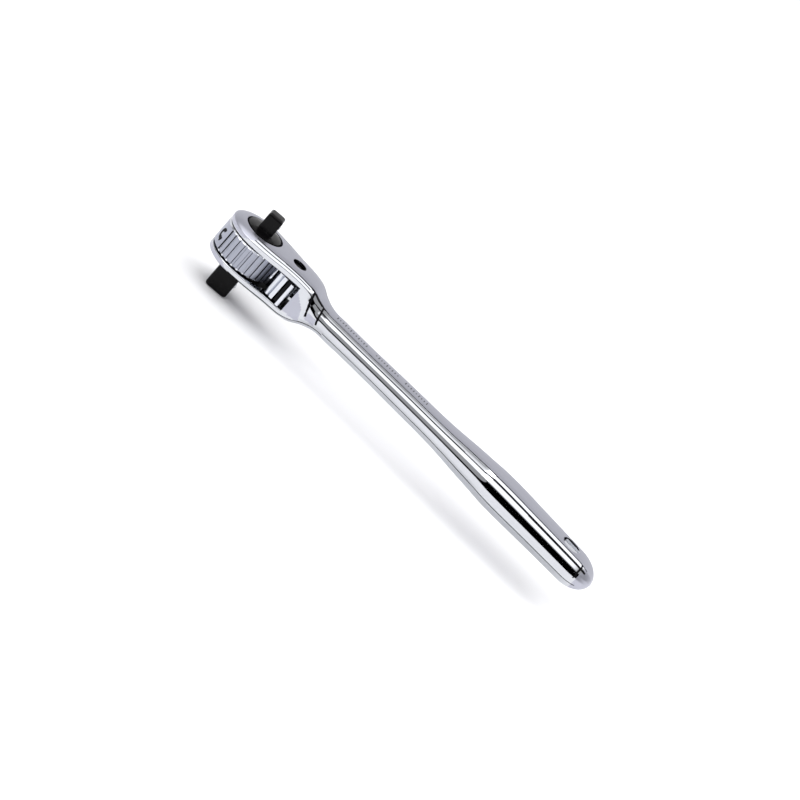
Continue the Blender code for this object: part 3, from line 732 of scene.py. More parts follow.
    def cheek(self, sign: float) -> Array:
        """The upper or lower cheek of the head, from its nose to the slot's end.

        Each section is a closed loop: outline, quarter-round slot edge of radius r, and flat slot
        face. In front of the spindle the loop at x = 0 is folded about the axis by an angle a, which
        takes (0, y) to (-|y| sin a, y cos a).

        Args:
            sign: 1 for the upper cheek, -1 for the lower one.

        Returns:
            Grid points of shape (sections, loop, 3).
        """
        nose, head = self.sections[:2]
        x = np.concatenate((np.zeros(nose), np.linspace(0.0, self.slot_end, head)[1:]))
        fold = np.concatenate((np.radians(np.linspace(90.0, 0.0, nose)), np.zeros(head - 1)))[:, None]
        half = self.upper_half(x, self.slot_place(x))
        turn = np.radians((22.5, 45.0, 67.5, 90.0))
        inward = np.stack((1.0 - np.cos(turn), np.sin(turn)), axis=-1)
        round_edge = half[:, -1:] - self.slot_edge * inward
        across = np.linspace(1.0, 0.0, 8)[1:, None]
        flat = round_edge[:, -1:] * np.concatenate((across, np.ones_like(across)), axis=-1)
        loop = mirrored(np.concatenate((half, round_edge, flat), axis=1))
        y, z = loop[..., 0], loop[..., 1]
        folded = (x[:, None] - np.abs(y) * np.sin(fold), y * np.cos(fold), sign * z)
        points = np.stack(folded, axis=-1)
        points[..., 2] += self.middle
        return points

    def neck_facets(self, points: Array) -> Array:
        """Presses the slanting facets into the sides.

        At each facet's front edge l(z) the side steps in by a depth d, and it comes back out over a
        length w: y -> y -+ d s((x - l) / step) (1 - s((x - l - step) / w)), with s the smooth step.

        Args:
            points: Grid points of the handle.

        Returns:
            The points, with the facets pressed in.
        """
        x, y, z = points[..., 0], points[..., 1], points[..., 2] - self.middle
        knots, _ = self.quarter_points(x[:, 0])
        side = smooth_step(np.abs(y) / knots[:, -1:, 0], *self.facet_width)
        side = side * smooth_step(z, *self.facet_rise)
        press = np.zeros_like(x)
        for place, slope, depth, length in self.facets:
            front = x - (place - slope * z)
            step_in = smooth_step(front, 0.0, self.facet_step)
            press += depth * step_in * (1.0 - smooth_step(front, self.facet_step, length))
        points[..., 1] -= np.sign(y) * press * side
        return points

    def handle(self) -> Array:
        """The web, shank, grip and tail, behind the slot's end, as whole closed sections."""
        neck, shank, end = self.sections[2:]
        tail = self.tail_end - self.tail_start
        turn = np.radians(np.linspace(0.0, 90.0, end)[1:])
        x = np.concatenate(
            (
                np.linspace(self.slot_end, self.neck_end, neck),
                np.linspace(self.neck_end, self.tail_start, shank)[1:],
                self.tail_start + tail * np.sin(turn),
            )
        )
        slot_place = np.full(len(x), self.slot_place(np.array([self.slot_end]))[0])
        upper = self.upper_half(x, slot_place)
        knots, drop = self.quarter_points(x)
        side = slot_place[:, None] + (8.0 - slot_place[:, None]) * np.array(self.side_shares)
        quarter = np.concatenate((upper, self.outline(knots, side)), axis=1)
        loop = mirrored(np.concatenate((quarter, quarter[:, -2::-1] * (1.0, -1.0)), axis=1))
        length = np.broadcast_to(x[:, None], loop.shape[:2])
        height = loop[..., 1] + self.middle - drop[:, None]
        return self.neck_facets(np.stack((length, loop[..., 0], height), axis=-1))

    def tools(self) -> list[Mesh]:
        """The bores and holes to cut, each with its chamfers."""
        low, high, middle = self.low, self.high, self.middle
        start, end = self.upper_bore[0][0], self.lower_bore[-1][0]
        upper = [(start, middle + self.bore_end), *((r, high + z) for r, z in self.upper_bore)]
        lower = [*((r, low + z) for r, z in self.lower_bore), (end, middle - self.bore_end)]
        pin = [(r, low - z) for r, z in self.pin_bore] + [(r, high + z) for r, z in self.pin_bore[::-1]]
        hang = [(r, -z) for r, z in self.hang_bore] + list(self.hang_bore[::-1])
        hang_place = (self.hang_x, 0.0, middle - self.hang_drop)
        detent = turned_mesh("detent_bore", self.detent_bore, 48)
        return [
            cutter_mesh("upper_bore", upper, 128),
            cutter_mesh("lower_bore", lower, 128),
            placed(cutter_mesh("pin_hole", pin, 72), (self.pin_x, 0.0, 0.0)),
            placed(cutter_mesh("hang_hole", hang, 96), hang_place),
            placed(detent, (self.detent_x, 0.0, middle), (1.0, 0.0, 0.0)),
        ]

    def ticks(self) -> Mesh:
        """The row of plain stamped ticks on the shank: small flat prisms that just break the crown."""
        groups = [np.arange(start, end, self.tick_pitch) for start, end in self.tick_groups]
        place = np.concatenate(groups)
        sizes = self.station_values(place)
        top = self.middle - sizes[:, 2] + sizes[:, 1] + self.tick_rise
        length = self.tick_length * (0.75 + 0.25 * np.cos(2.4 * np.arange(len(place))))
        corner = np.array(((-1, -1), (1, -1), (1, 1), (-1, 1))) / 2.0
        x = place[:, None] + corner[:, 0] * self.tick_width
        y = corner[:, 1] * length[:, None]
        ends = [np.repeat(level[:, None], 4, axis=1) for level in (top - self.tick_depth, top)]
        points = np.stack([np.stack((x, y, level), axis=-1) for level in ends], axis=1)
        base = (np.arange(len(place)) * 8)[:, None, None]
        sides = ((0, 3, 2, 1), (4, 5, 6, 7), (0, 1, 5, 4), (1, 2, 6, 5), (2, 3, 7, 6), (3, 0, 4, 7))
        return make_mesh("ticks", points, (np.array(sides) + base).reshape(-1, 4))

    def crease_shade_lines(self, x: Array, y: Array, rise: Array, knots: Array) -> Array:
        """Which faces get the line of painted shade along each crease.

        A face is in the line when it is closer to the crease point (y_k, z_k) of its own section than
        a radius, which swells on the neck as d exp(-((x - c) / w)^2), and on the grip.

        Args:
            x: Each face's distance from the spindle.
            y: Its distance from the middle plane.
            rise: Its height over the section's centre.
            knots: The outline points of its section.

        Returns:
            A mask over the faces.
        """
        most, centre, width = self.neck_swell
        head, head_end = self.head_swell
        swell = most * np.exp(-(((x - centre) / width) ** 2)) + head * (x < head_end)
        bold = self.grip_swell * smooth_step(x, *self.grip_change)
        first, second = self.creases
        on_head, on_neck = ((x < change)[:, None] for change in self.line_changes)
        lines = (
            (knots[:, first], 1.0, self.line_radius + swell),
            (np.where(on_head, knots[:, first + 1], knots[:, second]), 1.0, self.line_radius + bold),
            (np.where(on_neck, knots[:, second], knots[:, second + 1]), -1.0, self.line_radius),
        )
        mask = np.zeros(len(x), dtype=bool)
        for point, side, radius in lines:
            mask |= np.hypot(np.abs(y) - point[:, 0], rise - side * point[:, 1]) < radius
        return mask & (x > self.line_ends[0]) & (x < self.line_ends[1])

    def satin_faces(
        self, x: Array, y: Array, z: Array, level: Array, edge: Array
    ) -> tuple[Array, Array]:
        """Which faces the blasting left satin.

        They lie between the upper creases, on the nose outside the slot and on the tail's end, on the
        web behind the slot and on a pad of the neck.

        Args:
            x: Each face's distance from the spindle.
            y: Its distance from the middle plane.
            z: Its height over the head's middle.
            level: How far it is above or below the section's centre.
            edge: The first crease point of its section.

        Returns:
            The mask of the broad faces, and the mask of the other satin areas.
        """
        broad = (np.abs(y) < edge[:, 0]) & (level > edge[:, 1] - 0.05) & (x > 0.0)
        above_slot = (level - self.slot_half - self.slot_edge) / (edge[:, 1] - self.slot_half)
        nose = (x < self.nose_end + self.nose_taper * above_slot) & (above_slot > 0.0)
        nose &= x < self.slot_end
        top, fall = self.web_top
        web = (x > self.slot_end) & (x < self.web_end - self.facets[0][1] * z)
        web &= (z < top - fall * (x - self.slot_end)) & (level < self.web_half)
        pad = (x > self.pad_length[0]) & (x < self.pad_length[1])
        pad &= (z > self.pad_rise[0]) & (z < self.pad_rise[1])
        return broad, nose | (x > self.tail_satin) | web | pad

    def mark_faces(self, mesh: Mesh) -> None:
        """Marks the satin faces and the faces with painted shade; the rest are buffed bright.

        Shade is painted in the slot, in the bores, on the facets' walls and in the crease lines.

        Args:
            mesh: The finished forging.
        """
        x, y, z = face_centres(mesh).T
        knots, drop = self.quarter_points(np.clip(x, 0.0, self.tail_end - 0.01))
        edge = knots[:, self.creases[0]]
        level = np.abs(z - self.middle + drop)
        broad, others = self.satin_faces(x, y, z - self.middle, level, edge)
        half_width = self.station_values(np.maximum(x, 0.0))[:, 0]
        rim = np.hypot(np.minimum(x, 0.0), y) > half_width - self.rim_width
        # Painted shade in the slot, the crease lines, the facets' walls, the bore and the holes
        painted_shade = (level < self.slot_half + self.margin) & (x < self.slot_end + self.margin) & ~rim
        painted_shade |= self.crease_shade_lines(x, y, z - self.middle + drop, knots)
        for place, slope, _, _ in self.facets:
            front = x - (place - slope * (z - self.middle))
            wall = (front > 0.0) & (front < self.facet_step + 0.3) & (z > self.middle + self.wall_low)
            painted_shade |= wall & ~broad & (np.abs(y) > self.wall_side * edge[:, 0])
        radius, top = self.bore_reach
        painted_shade |= (np.hypot(x, y) < radius) & (z < self.middle + top)
        for centre, reach in ((self.pin_x, self.pin_reach), (self.hang_x, self.hang_reach)):
            painted_shade |= np.hypot(x - centre, y) < reach
        write_marks(mesh, {SATIN: broad | others, PAINTED_SHADE: painted_shade})

    def build(self) -> None:
        """Makes the forging, with its slot and holes, and the ticks."""
        points, faces, start = [], [], 0
        for grid in (self.cheek(1.0), self.cheek(-1.0), self.handle()):
            points.append(grid.reshape(-1, 3))
            faces.append(loop_faces(*grid.shape[:2]) + start)
            start += len(points[-1])
        solid = make_mesh("forging", np.concatenate(points), np.concatenate(faces))
        mesh = shaded(carve(solid, self.tools()))
        self.mark_faces(mesh)
        slot, nodes = "polished_chrome", ("handle_forging",)
        add_piece("forged_handle", mesh, "handle", nodes, FORGED_CHROME)
        add_piece("stamped_ticks", self.ticks(), "handle", (), STAMPED_TICK)


# --------------------------------- Spindle and what turns with it ---------------------------------


@dataclass(frozen=True)
class TangBall:
    """A ball in a tang's side: its radius, the face it stands proud of, and its height."""

    name: str
    radius: float
    face: float
    proud: float
    height: float

    def reach(self) -> float:
        """How far the ball's centre is from the spindle's axis."""
        return self.face + self.proud - self.radius


@dataclass
class Spindle:
    """The drive spindle, stacked up from loops: two rounded squares, round journals and a hexagon."""

    turn: float = 10.0
    large_side: float = 9.525
    small_side: float = 6.35
    corner: float = 0.11
    end_share: float = 0.02
    large_end: float = 1.1
    small_end: float = 1.25
    end_angles: tuple[float, ...] = (90.0, 72.0, 54.0, 38.0, 24.0, 11.0, 0.0)
    journal_radius: float = 6.7
    shoulder_radius: float = 6.45
    groove_radius: float = 6.0
    hexagon_radius: float = 6.7
    disc_radius: float = 7.55
    slot_half: float = 5.75
    corner_points: int = 8
    side_points: int = 7
    # Each ball's radius, how far it stands proud, and how far it is from its tang's end
    large_ball: tuple[float, float, float] = (1.6, 0.7, 5.2)
    small_ball: tuple[float, float, float] = (1.0, 0.45, 3.6)
    seat_gap: float = 0.3
    seat_floor: float = 0.9

    def __post_init__(self) -> None:
        """Takes the levels from the frame."""
        self.bottom, self.top = levels("drive_spindle")
        self.tang_top, self.head_top = levels("handle_forging")

    def square(self, side: float, corner: float) -> Array:
        """A rounded square: quarter circles of the corner radius joined by straight sides.

        Args:
            side: The square's side.
            corner: The radius of its corners.

        Returns:
            Points (x, y) once round, starting on the first corner.
        """
        inner = side / 2 - corner
        turns = np.linspace(0.0, 90.0, self.corner_points)
        corner_loop = polar(corner, turns) + inner
        share = np.linspace(0.0, 1.0, self.side_points + 2)[1:-1, None]
        edge = corner_loop[-1] + (np.array((-inner, side / 2)) - corner_loop[-1]) * share
        quarter = np.concatenate((corner_loop, edge))
        spins = (((1, 0), (0, 1)), ((0, 1), (-1, 0)), ((-1, 0), (0, -1)), ((0, -1), (1, 0)))
        return np.concatenate([quarter @ np.array(spin) for spin in spins])

    def ring(self, radius: float) -> Array:
        """A circle whose points lie in the same directions as the large square's."""
        square = self.square(self.large_side, self.large_side * 0.1)
        return square / np.linalg.norm(square, axis=1, keepdims=True) * radius

    def hexagon(self) -> Array:
        """A hexagon in the same directions: radius r cos 30 / cos(a mod 60 - 30)."""
        circle = self.ring(1.0)
        angle = np.degrees(np.arctan2(circle[:, 1], circle[:, 0])) % 60.0 - 30.0
        flat = self.hexagon_radius * math.cos(math.radians(30.0))
        return circle * (flat / np.cos(np.radians(angle)))[:, None]

    def tang(self, side: float, end: float, inward: float, reach: float) -> list:
        """The loops of a tang's rounded end: the side shrinks as 1 - sqrt(1 - s^2) over the reach.

        Args:
            side: The tang's side.
            end: The height of its end face.
            inward: 1 if the tang's body is above its end, -1 if below.
            reach: How far along the tang the rounding goes.

        Returns:
            Pairs of a height and a loop, from the end face to the full square.
        """
        loops = []
        for angle in self.end_angles:
            shrink = reach * 0.8 * (1.0 - math.cos(math.radians(angle)))
            height = end + inward * reach * (1.0 - math.sin(math.radians(angle)))
            loops.append((height, self.square(side - 2.0 * shrink, side * self.corner)))
        return loops

    def loops(self) -> list:
        """Every loop from the large tang's end to the small tang's end, as (height, loop)."""
        large, small = (self.square(s, s * self.corner) for s in (self.large_side, self.small_side))
        low, high = self.tang_top, self.head_top
        middle = (low + high) / 2
        slot_low, slot_high = middle - self.slot_half, middle + self.slot_half
        journal, groove = self.ring(self.journal_radius), self.ring(self.groove_radius)
        shoulder, disc = self.ring(self.shoulder_radius), self.disc_radius
        return [
            (self.bottom, large * self.end_share),
            *self.tang(self.large_side, self.bottom, 1.0, self.large_end),
            # The shoulder over the large square, the retaining ring's groove and the journal
            (low - 0.2, large), (low + 0.05, large * 1.03), (low + 0.05, shoulder),
            (low + 0.3, journal), (low + 0.75, journal), (low + 0.75, groove),
            (low + 1.75, groove), (low + 1.75, journal), (slot_low + 0.3, journal),
            # The wheel's hexagon, in the slot
            (slot_low + 0.3, self.hexagon()), (slot_high, self.hexagon()),
            # The disc in the upper cheek, and its cone up to the small square
            (slot_high, self.ring(disc)), (high - 0.3, self.ring(disc)),
            (high - 0.08, self.ring(disc - 0.07)), (high, self.ring(disc - 0.28)),
            (high + 0.25, self.ring(5.9)), (high + 0.42, self.ring(4.95)),
            (high + 0.5, small * 1.1), (high + 0.62, small * 1.03), (high + 0.85, small),
            *self.tang(self.small_side, self.top, -1.0, self.small_end)[::-1],
            (self.top, small * self.end_share),
        ]

    def balls(self) -> list[TangBall]:
        """The two tang balls, in their places."""
        radius, proud, height = self.large_ball
        large = TangBall("large_tang_ball", radius, self.large_side / 2, proud, height)
        radius, proud, depth = self.small_ball
        small = TangBall("small_tang_ball", radius, self.small_side / 2, proud, self.top - depth)
        return [large, small]

    def build(self) -> None:
        """Makes the spindle with its ball seats, and the balls."""
        loops = [np.column_stack((loop, np.full(len(loop), z))) for z, loop in self.loops()]
        seats = []
        for ball in self.balls():
            bore = ball.radius + self.seat_gap
            profile = [(bore, -4.0), (bore, 0.75), (bore + 0.25, 1.0), (bore + 0.25, 3.0)]
            place = (ball.face - self.seat_floor, 0.0, ball.height)
            seats.append(placed(cutter_mesh(ball.name, profile, 48), place, (1.0, 0.0, 0.0)))
        mesh = turned_about_z(carve(make_mesh("spindle", np.stack(loops)), seats), self.turn)
        nodes, slot = ("drive_spindle",), "black_oxide"
        spindle = add_piece("spindle", shaded(mesh, 28.0), "spindle", nodes, BLACK_OXIDE)
        spindle.modifiers.new("even_shading", "WEIGHTED_NORMAL").keep_sharp = True
        for ball in self.balls():
            mesh = ball_mesh(ball.radius, (*polar(ball.reach(), self.turn), ball.height))
            name, nodes = f"{ball.name}_bearing", (ball.name,)
            add_piece(name, mesh, ball.name, nodes, BEARING_STEEL)


# -------------------------------------- Reversing ring --------------------------------------


@dataclass
class ReversingRing:
    """The open fluted ring round the head, with its plungers and its turning marks."""

    outer: float = 13.0
    inner: float = 10.4
    turn: float = 10.5
    opening: float = 26.5
    steps: int = 1400
    flute_pitch: float = 12.0
    flute_depth: float = 0.45
    first_flute: float = 46.0
    flutes: int = 9
    flute_half: float = 2.6
    flank_from: float = 0.72
    chamfer: float = 0.5
    inner_chamfer: float = 0.25
    land: float = 2.0
    # The rounding of each end: over how many degrees, and how deep
    end_rounding: Pair = (2.0, 0.4)
    wall_depth: float = 0.8
    plunger_drop: float = 2.4
    plunger_tilt: float = 9.8
    # Profiles as (radius, depth into the ring's end)
    plunger: Table = (
        (0.0, -0.55), (0.3, -0.52), (0.52, -0.42), (0.66, -0.25), (0.7, 0.0), (0.7, 1.3),
        (0.6, 1.45), (0.0, 1.45),
    )
    plunger_bore: Table = (
        (0.0, -1.5), (1.2, -1.5), (1.2, 0.0), (0.95, 0.25), (0.95, 4.0), (0.0, 4.3),
    )
    # The turning mark: its place from the nose, radius, half widths, sweep, head and height
    mark_place: float = 29.0
    mark_radius: float = 1.7
    mark_band: float = 0.75
    mark_head: float = 1.5
    mark_sweep: Pair = (115.0, -150.0)
    mark_head_from: float = -95.0
    mark_rise: float = 0.012
    mark_depth: float = 0.05

    def __post_init__(self) -> None:
        """Takes the ring's height from the frame."""
        low, high = levels("reversing_ring")
        self.middle = (low + high) / 2
        self.half = (high - low) / 2

    def outer_radius(self, angle: Array) -> Array:
        """The fluted outer radius: R less the flute depth inside each flute, with soft flanks.

        Args:
            angle: Angles round the ring in degrees, with the nose at 180.

        Returns:
            The radius at each angle.
        """
        off = np.abs(self.off_flute(angle))
        flute = 1.0 - smooth_step(off, self.flank_from * self.flute_half, self.flute_half)
        length, depth = self.end_rounding
        to_end = np.minimum(angle - self.opening, 360.0 - self.opening - angle)
        corner = np.clip(1.0 - to_end / length, 0.0, 1.0)
        rounding = depth * (1.0 - np.sqrt(1.0 - corner**2))
        return self.outer - self.flute_depth * flute - rounding

    def off_flute(self, angle: Array) -> Array:
        """How many degrees each angle is from the middle of the nearest flute."""
        place = np.abs(angle - 180.0) - self.first_flute
        nearest = np.clip(np.round(place / self.flute_pitch), 0, self.flutes - 1)
        return place - nearest * self.flute_pitch

    def body(self) -> Mesh:
        """The ring's solid: at each angle a closed section of outer wall, chamfers and inner wall."""
        angle = np.linspace(self.opening, 360.0 - self.opening, self.steps)
        h, c, edge = self.half, self.chamfer, self.inner_chamfer
        rise = np.array((-self.land, self.land))
        below = np.array((-h, -h + 0.5 * c, -h + c, -h + 1.3 * c))
        level = np.concatenate((below, rise, -below[::-1]))
        limit = self.outer - np.clip(np.abs(level) - (h - c), 0.0, c)
        wall = np.minimum(self.outer_radius(angle)[:, None], limit)
        inner_wall = np.broadcast_to(self.inner + np.array((edge, 0.0, 0.0, edge)), (len(angle), 4))
        section = np.concatenate((wall, inner_wall), axis=1)
        height = np.concatenate((level, (h, h - edge, -h + edge, -h))) + self.middle
        height = np.broadcast_to(height[:, None], (*section.shape, 1))
        return make_mesh("ring", np.concatenate((polar(section, angle[:, None]), height), axis=-1))

    def mark_faces(self, mesh: Mesh) -> None:
        """Marks the walls as satin, and paints shade on the flutes' flanks."""
        x, y, z = face_centres(mesh).T
        off = np.abs(self.off_flute(np.degrees(np.arctan2(y, x)) % 360.0))
        flank = (off > self.flank_from * self.flute_half) & (off < self.flute_half)
        wall = np.abs(z - self.middle) < self.half - self.chamfer
        inner = np.hypot(x, y) < self.outer - self.wall_depth
        # Painted shade on the flutes' flanks along the outer wall
        write_marks(mesh, {SATIN: wall | inner, PAINTED_SHADE: flank & wall & ~inner})

    def plunger_places(self) -> list[tuple]:
        """Each plunger: name, the middle of its end face at its height, and the way into the ring."""
        middle = (self.outer + self.inner) / 2
        height = self.middle - self.plunger_drop
        places = []
        for name, side in SIDES:
            start = polar(middle, side * self.opening)
            inward = polar(1.0, side * (self.opening + 90.0 + self.plunger_tilt))
            places.append((f"{name}_plunger", (*start, height), (*inward, 0.0)))
        return places

    def mark(self, side: float) -> Mesh:
        """A curved arrow on the ring's nose: a band round an open circle, then a pointed head.

        The band's centre line is (r cos a, r sin a) in the plane of the surface, with the half width
        growing to the head and falling to nothing at its point; the plane wraps onto the ring.

        Args:
            side: 1 for the mark on the left of the nose, -1 for the right.

        Returns:
            The mark, standing a hair off the surface.
        """
        sweep = np.linspace(*self.mark_sweep, 60)
        to_point = (sweep - sweep[-1]) / (self.mark_head_from - sweep[-1])
        on_head = sweep < self.mark_head_from
        half = np.where(on_head, self.mark_head * to_point, self.mark_band)[:, None]
        flat = polar(self.mark_radius + half * np.linspace(-1.0, 1.0, 5), sweep[:, None])
        across, up = flat[..., 0] * side, flat[..., 1]
        angle = 180.0 - side * self.mark_place + np.degrees(across / self.outer)
        height = (self.middle + up)[..., None]
        outside, inside = (
            np.concatenate((polar(self.outer + rise, angle), height), axis=-1)
            for rise in (self.mark_rise, -self.mark_depth)
        )
        return make_mesh("mark", np.concatenate((outside, inside[:, ::-1]), axis=1))

    def build(self) -> None:
        """Makes the ring, its two marks and its two plungers."""
        places = self.plunger_places()
        bores = [placed(turned_mesh(name, self.plunger_bore, 36), *place) for name, *place in places]
        mesh = carve(self.body(), bores)
        self.mark_faces(mesh)
        mesh = shaded(turned_about_z(mesh, self.turn), 32.0)
        add_piece("fluted_ring", mesh, "ring", ("reversing_ring",), RING_CHROME)
        for name, side in SIDES:
            mark = turned_about_z(self.mark(side), self.turn)
            add_piece(f"{name}_turn_mark", mark, "ring", (), MARK_BLACK)
        for name, *place in places:
            mesh = turned_about_z(placed(turned_mesh(name, self.plunger, 40), *place), self.turn)
            slot, finish = "bearing_steel", BEARING_STEEL
            add_piece(f"{name}_pin", shaded(mesh), name, (name,), finish)


# ----------------------------------- Pawl and small parts -----------------------------------


@dataclass
class PawlSet:
    """The double-ended pawl, its pivot pin and its detent ball."""

    rock: float = -5.0
    edge: float = 0.12
    # The recesses beside the ribs, whose floors get painted shade: from and to along the handle, and
    # across it
    recess_length: Pair = (20.5, 22.45)
    recess_width: Pair = (4.0, 8.2)
    pin_x: float = 18.1
    pin_sunk: float = 0.7
    # The pin's ends as (radius, height over the end)
    pin_bottom: Table = ((0.0, 0.12), (1.5, 0.0), (2.15, 0.0), (2.5, 0.3))
    pin_top: Table = ((2.5, -0.35), (2.4, -0.12), (2.1, 0.0), (1.2, 0.0), (0.0, -0.15))

    def mark_faces(self, mesh: Mesh) -> None:
        """Paints shade on the floors of the recesses beside the ribs."""
        place = face_centres(mesh)[:, :2] - (self.pin_x, 0.0)
        turn = math.radians(-self.rock)
        spin = np.array(((math.cos(turn), math.sin(turn)), (-math.sin(turn), math.cos(turn))))
        x, y = np.abs((place @ spin).T + ((self.pin_x,), (0.0,)))
        # Painted shade on the recess floors beside the ribs
        painted_shade = np.ones(len(x), dtype=bool)
        for value, (low, high) in ((x, self.recess_length), (y, self.recess_width)):
            painted_shade &= (value > low) & (value < high)
        write_marks(mesh, {PAINTED_SHADE: painted_shade})

    def build(self) -> None:
        """Makes the pawl with broken edges, the pin with a dished end, and the ball."""
        mesh = merged_copy("pawl")
        self.mark_faces(mesh)
        mesh = shaded(mesh, 20.0)
        pawl = add_piece("pawl_block", mesh, "pawl", ("pawl",), SATIN_CHROME)
        add_bevel(pawl, self.edge)
        bottom, top = levels("pawl_pivot_pin")
        profile = [(r, bottom + z) for r, z in self.pin_bottom]
        profile += [(r, top - self.pin_sunk + z) for r, z in self.pin_top]
        pin = shaded(placed(turned_mesh("pin", profile, 72), (self.pin_x, 0.0, 0.0)))
        add_piece("pivot_pin", pin, "handle", ("pawl_pivot_pin",), BLACK_OXIDE)
        low, high = node_box("detent_ball")
        ball = ball_mesh(float(high[2] - low[2]) / 2, tuple((low + high) / 2))
        nodes, slot = ("detent_ball",), "bearing_steel"
        add_piece("detent_bearing", ball, "detent_ball", nodes, BEARING_STEEL)


@dataclass
class SpringsAndWashers:
    """The wheel, washers, retaining ring and springs, which keep their CAD shapes."""

    edge: float = 0.08
    as_cad: tuple[str, ...] = (
        "lower_thrust_washer", "upper_thrust_washer", "wave_spring", "detent_spring",
        "large_tang_spring", "small_tang_spring", "left_plunger_spring", "right_plunger_spring",
    )
    with_broken_edges: tuple = (
        ("ratchet_wheel", "toothed_wheel", "black_oxide", BLACK_OXIDE),
        ("spindle_retaining_ring", "snap_ring", "spring_steel", SPRING_STEEL),
    )

    def build(self) -> None:
        """Dresses the CAD nodes that stay, and breaks the edges of the wheel and retaining ring."""
        for node in self.as_cad:
            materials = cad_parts[node].data.materials
            for i in range(len(materials)):
                materials[i] = SPRING_STEEL.material(node)
        for node, name, slot, finish in self.with_broken_edges:
            mesh = shaded(merged_copy(node), 25.0)
            add_bevel(add_piece(name, mesh, "spindle", (node,), finish), self.edge)


# ------------------------------------------ Studio ------------------------------------------


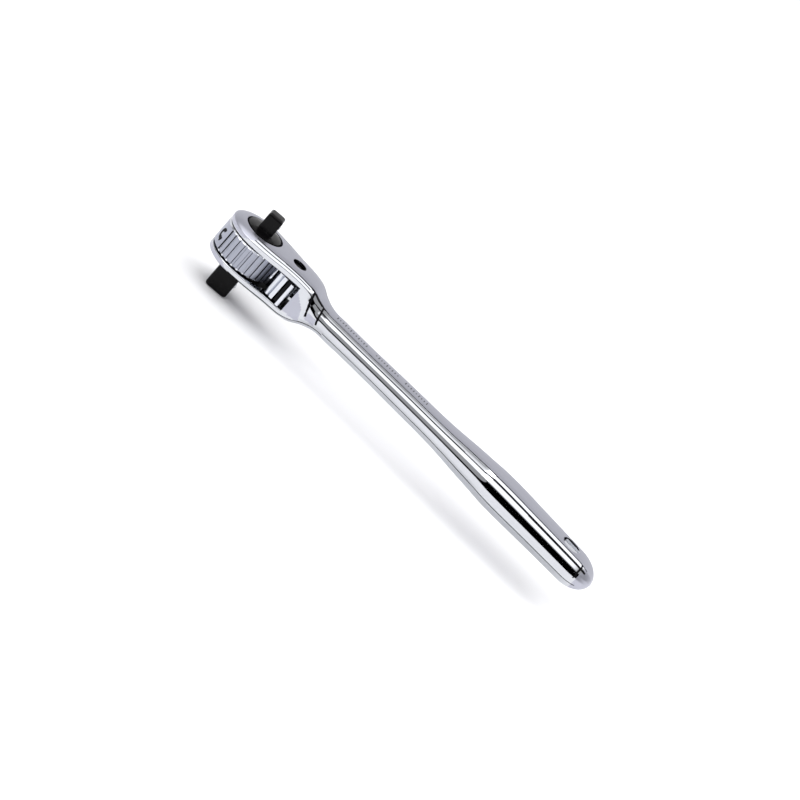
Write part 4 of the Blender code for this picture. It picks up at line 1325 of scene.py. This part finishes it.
@dataclass
class Studio:
    """A pale floor, a soft sky of broad panels, two softboxes and the camera."""

    azimuth: float = 5.0
    elevation: float = 21.0
    roll: float = 42.4
    distance: float = 1200.0
    lens: float = 145.9
    sensor: float = 36.0
    clip: Pair = (0.01, 50.0)
    target: tuple[float, float, float] = (79.46, -0.26, 18.91)
    # The sky's brightness by the sine of the height above the horizon
    front_sky: Table = ((0.0, 0.0), (0.25, 0.0), (0.28, 0.45), (0.66, 0.5), (0.74, 1.8), (1.0, 1.8))
    back_sky: Table = ((0.0, 0.95), (0.5, 0.9), (0.6, 0.3), (0.72, 0.3), (0.79, 1.7), (1.0, 1.7))
    # The front sky turns into the back one between these shares of the way to the back
    sky_change: Pair = (-0.25, 0.25)
    sky_blue: float = 1.01
    # Name, place, side and watts
    softboxes: tuple = (
        ("key_softbox", (-250.0, -420.0, 520.0), 380.0, 1.6),
        ("tail_softbox", (420.0, 160.0, 460.0), 320.0, 0.8),
    )
    floor_radius: float = 9000.0
    floor_gap: float = 0.1
    floor_points: int = 72
    floor_colour: str = "#f4f4f5"
    floor_roughness: float = 0.9

    def build(self) -> None:
        """Makes the whole studio."""
        self.build_floor()
        self.build_sky()
        for softbox in self.softboxes:
            self.build_softbox(*softbox)
        self.build_camera()
        bpy.context.scene.view_settings.view_transform = "Standard"

    def build_floor(self) -> None:
        """A round floor just under the large tang."""
        level = levels("drive_spindle")[0] - self.floor_gap
        rim = polar(self.floor_radius, np.arange(self.floor_points) * 360.0 / self.floor_points)
        points = np.concatenate((rim, np.full((self.floor_points, 1), level)), axis=-1)
        mesh = bpy.data.meshes.new("floor")
        mesh.from_pydata((points * MM).tolist(), [], [list(range(len(points)))])
        material = bpy.data.materials.new("matt_white_floor")
        material.use_nodes = True
        shader = material.node_tree.nodes["Principled BSDF"]
        shader.inputs["Base Color"].default_value = linear(self.floor_colour)
        shader.inputs["Roughness"].default_value = self.floor_roughness
        mesh.materials.append(material)
        linked("floor", mesh)

    def build_sky(self) -> None:
        """A sky in two halves, each bright overhead and banded below, so that chrome has contrast.

        The front half is black at the horizon and grey higher up, and the back half is pale low down
        with a dark band above. The half to take goes by the Y of the direction.
        """
        world = bpy.data.worlds.new("studio_sky")
        world.use_nodes = True
        tree = world.node_tree
        tree.nodes.clear()
        way = add_node(tree, "TexCoord").outputs["Generated"]
        parts = add_node(tree, "SeparateXYZ", {0: way}).outputs
        front, back = (self.ramp(tree, parts["Z"], sky) for sky in (self.front_sky, self.back_sky))
        start, end = self.sky_change
        side = {"clamp": True, "Value": parts["Y"], "From Min": start, "From Max": end}
        share = add_node(tree, "MapRange", side).outputs[0]
        pair = {COLOUR_A: front, COLOUR_B: back}
        mixed = add_node(tree, "Mix", {"data_type": "RGBA", SHARE: share, **pair})
        light = {"Strength": 1.0, "Color": mixed.outputs[COLOUR_OUT]}
        background = add_node(tree, "Background", light)
        add_node(tree, "OutputWorld", {"Surface": background.outputs[0]})
        bpy.context.scene.world = world

    def ramp(self, tree: Tree, value: Socket, stops: Table) -> Socket:
        """A grey ramp through (place, brightness) stops; returns its colour socket."""
        node = add_node(tree, "ValToRGB", {0: value})
        elements = node.color_ramp.elements
        while len(elements) < len(stops):
            elements.new(0.5)
        for element, (place, grey) in zip(elements, stops):
            element.position = place
            element.color = (grey, grey, grey * self.sky_blue, 1.0)
        return node.outputs[0]

    def build_softbox(self, name: str, place: tuple, size: float, power: float) -> None:
        """A square softbox that faces the middle of the wrench.

        Args:
            name: The light's name.
            place: Where it stands, in millimetres.
            size: Its side, in millimetres.
            power: Its power in watts.
        """
        data = bpy.data.lights.new(name, "AREA")
        data.energy = power
        data.size = size * MM
        light = linked(name, data)
        start = Vector(place) * MM
        light.location = start
        towards = Vector(self.target) * MM - start
        light.rotation_euler = towards.to_track_quat("-Z", "Y").to_euler()

    def build_camera(self) -> None:
        """A long lens to one side of the spindle, above the handle, rolled so that it hangs down."""
        azimuth, elevation, roll = map(math.radians, (self.azimuth, self.elevation, self.roll))
        level = Vector((math.cos(azimuth), math.sin(azimuth), 0.0))
        away = Vector((math.sin(azimuth), -math.cos(azimuth), 0.0))
        back = away * math.cos(elevation) + Vector((0.0, 0.0, math.sin(elevation)))
        rise = back.cross(level)
        right = level * math.cos(roll) + rise * math.sin(roll)
        up = rise * math.cos(roll) - level * math.sin(roll)
        data = bpy.data.cameras.new("camera")
        data.lens = self.lens
        data.sensor_width = self.sensor
        data.clip_start, data.clip_end = self.clip
        camera = linked("camera", data)
        place = Matrix.Translation((Vector(self.target) + back * self.distance) * MM)
        camera.matrix_world = place @ Matrix((right, up, back)).transposed().to_4x4()
        bpy.context.scene.camera = camera


def main() -> None:
    logging.basicConfig(level=logging.INFO, format="%(message)s")
    for part in (Forging(), Spindle(), ReversingRing(), PawlSet(), SpringsAndWashers(), Studio()):
        log.info("building %s", type(part).__name__)
        part.build()


if __name__ == "__main__":
    main()
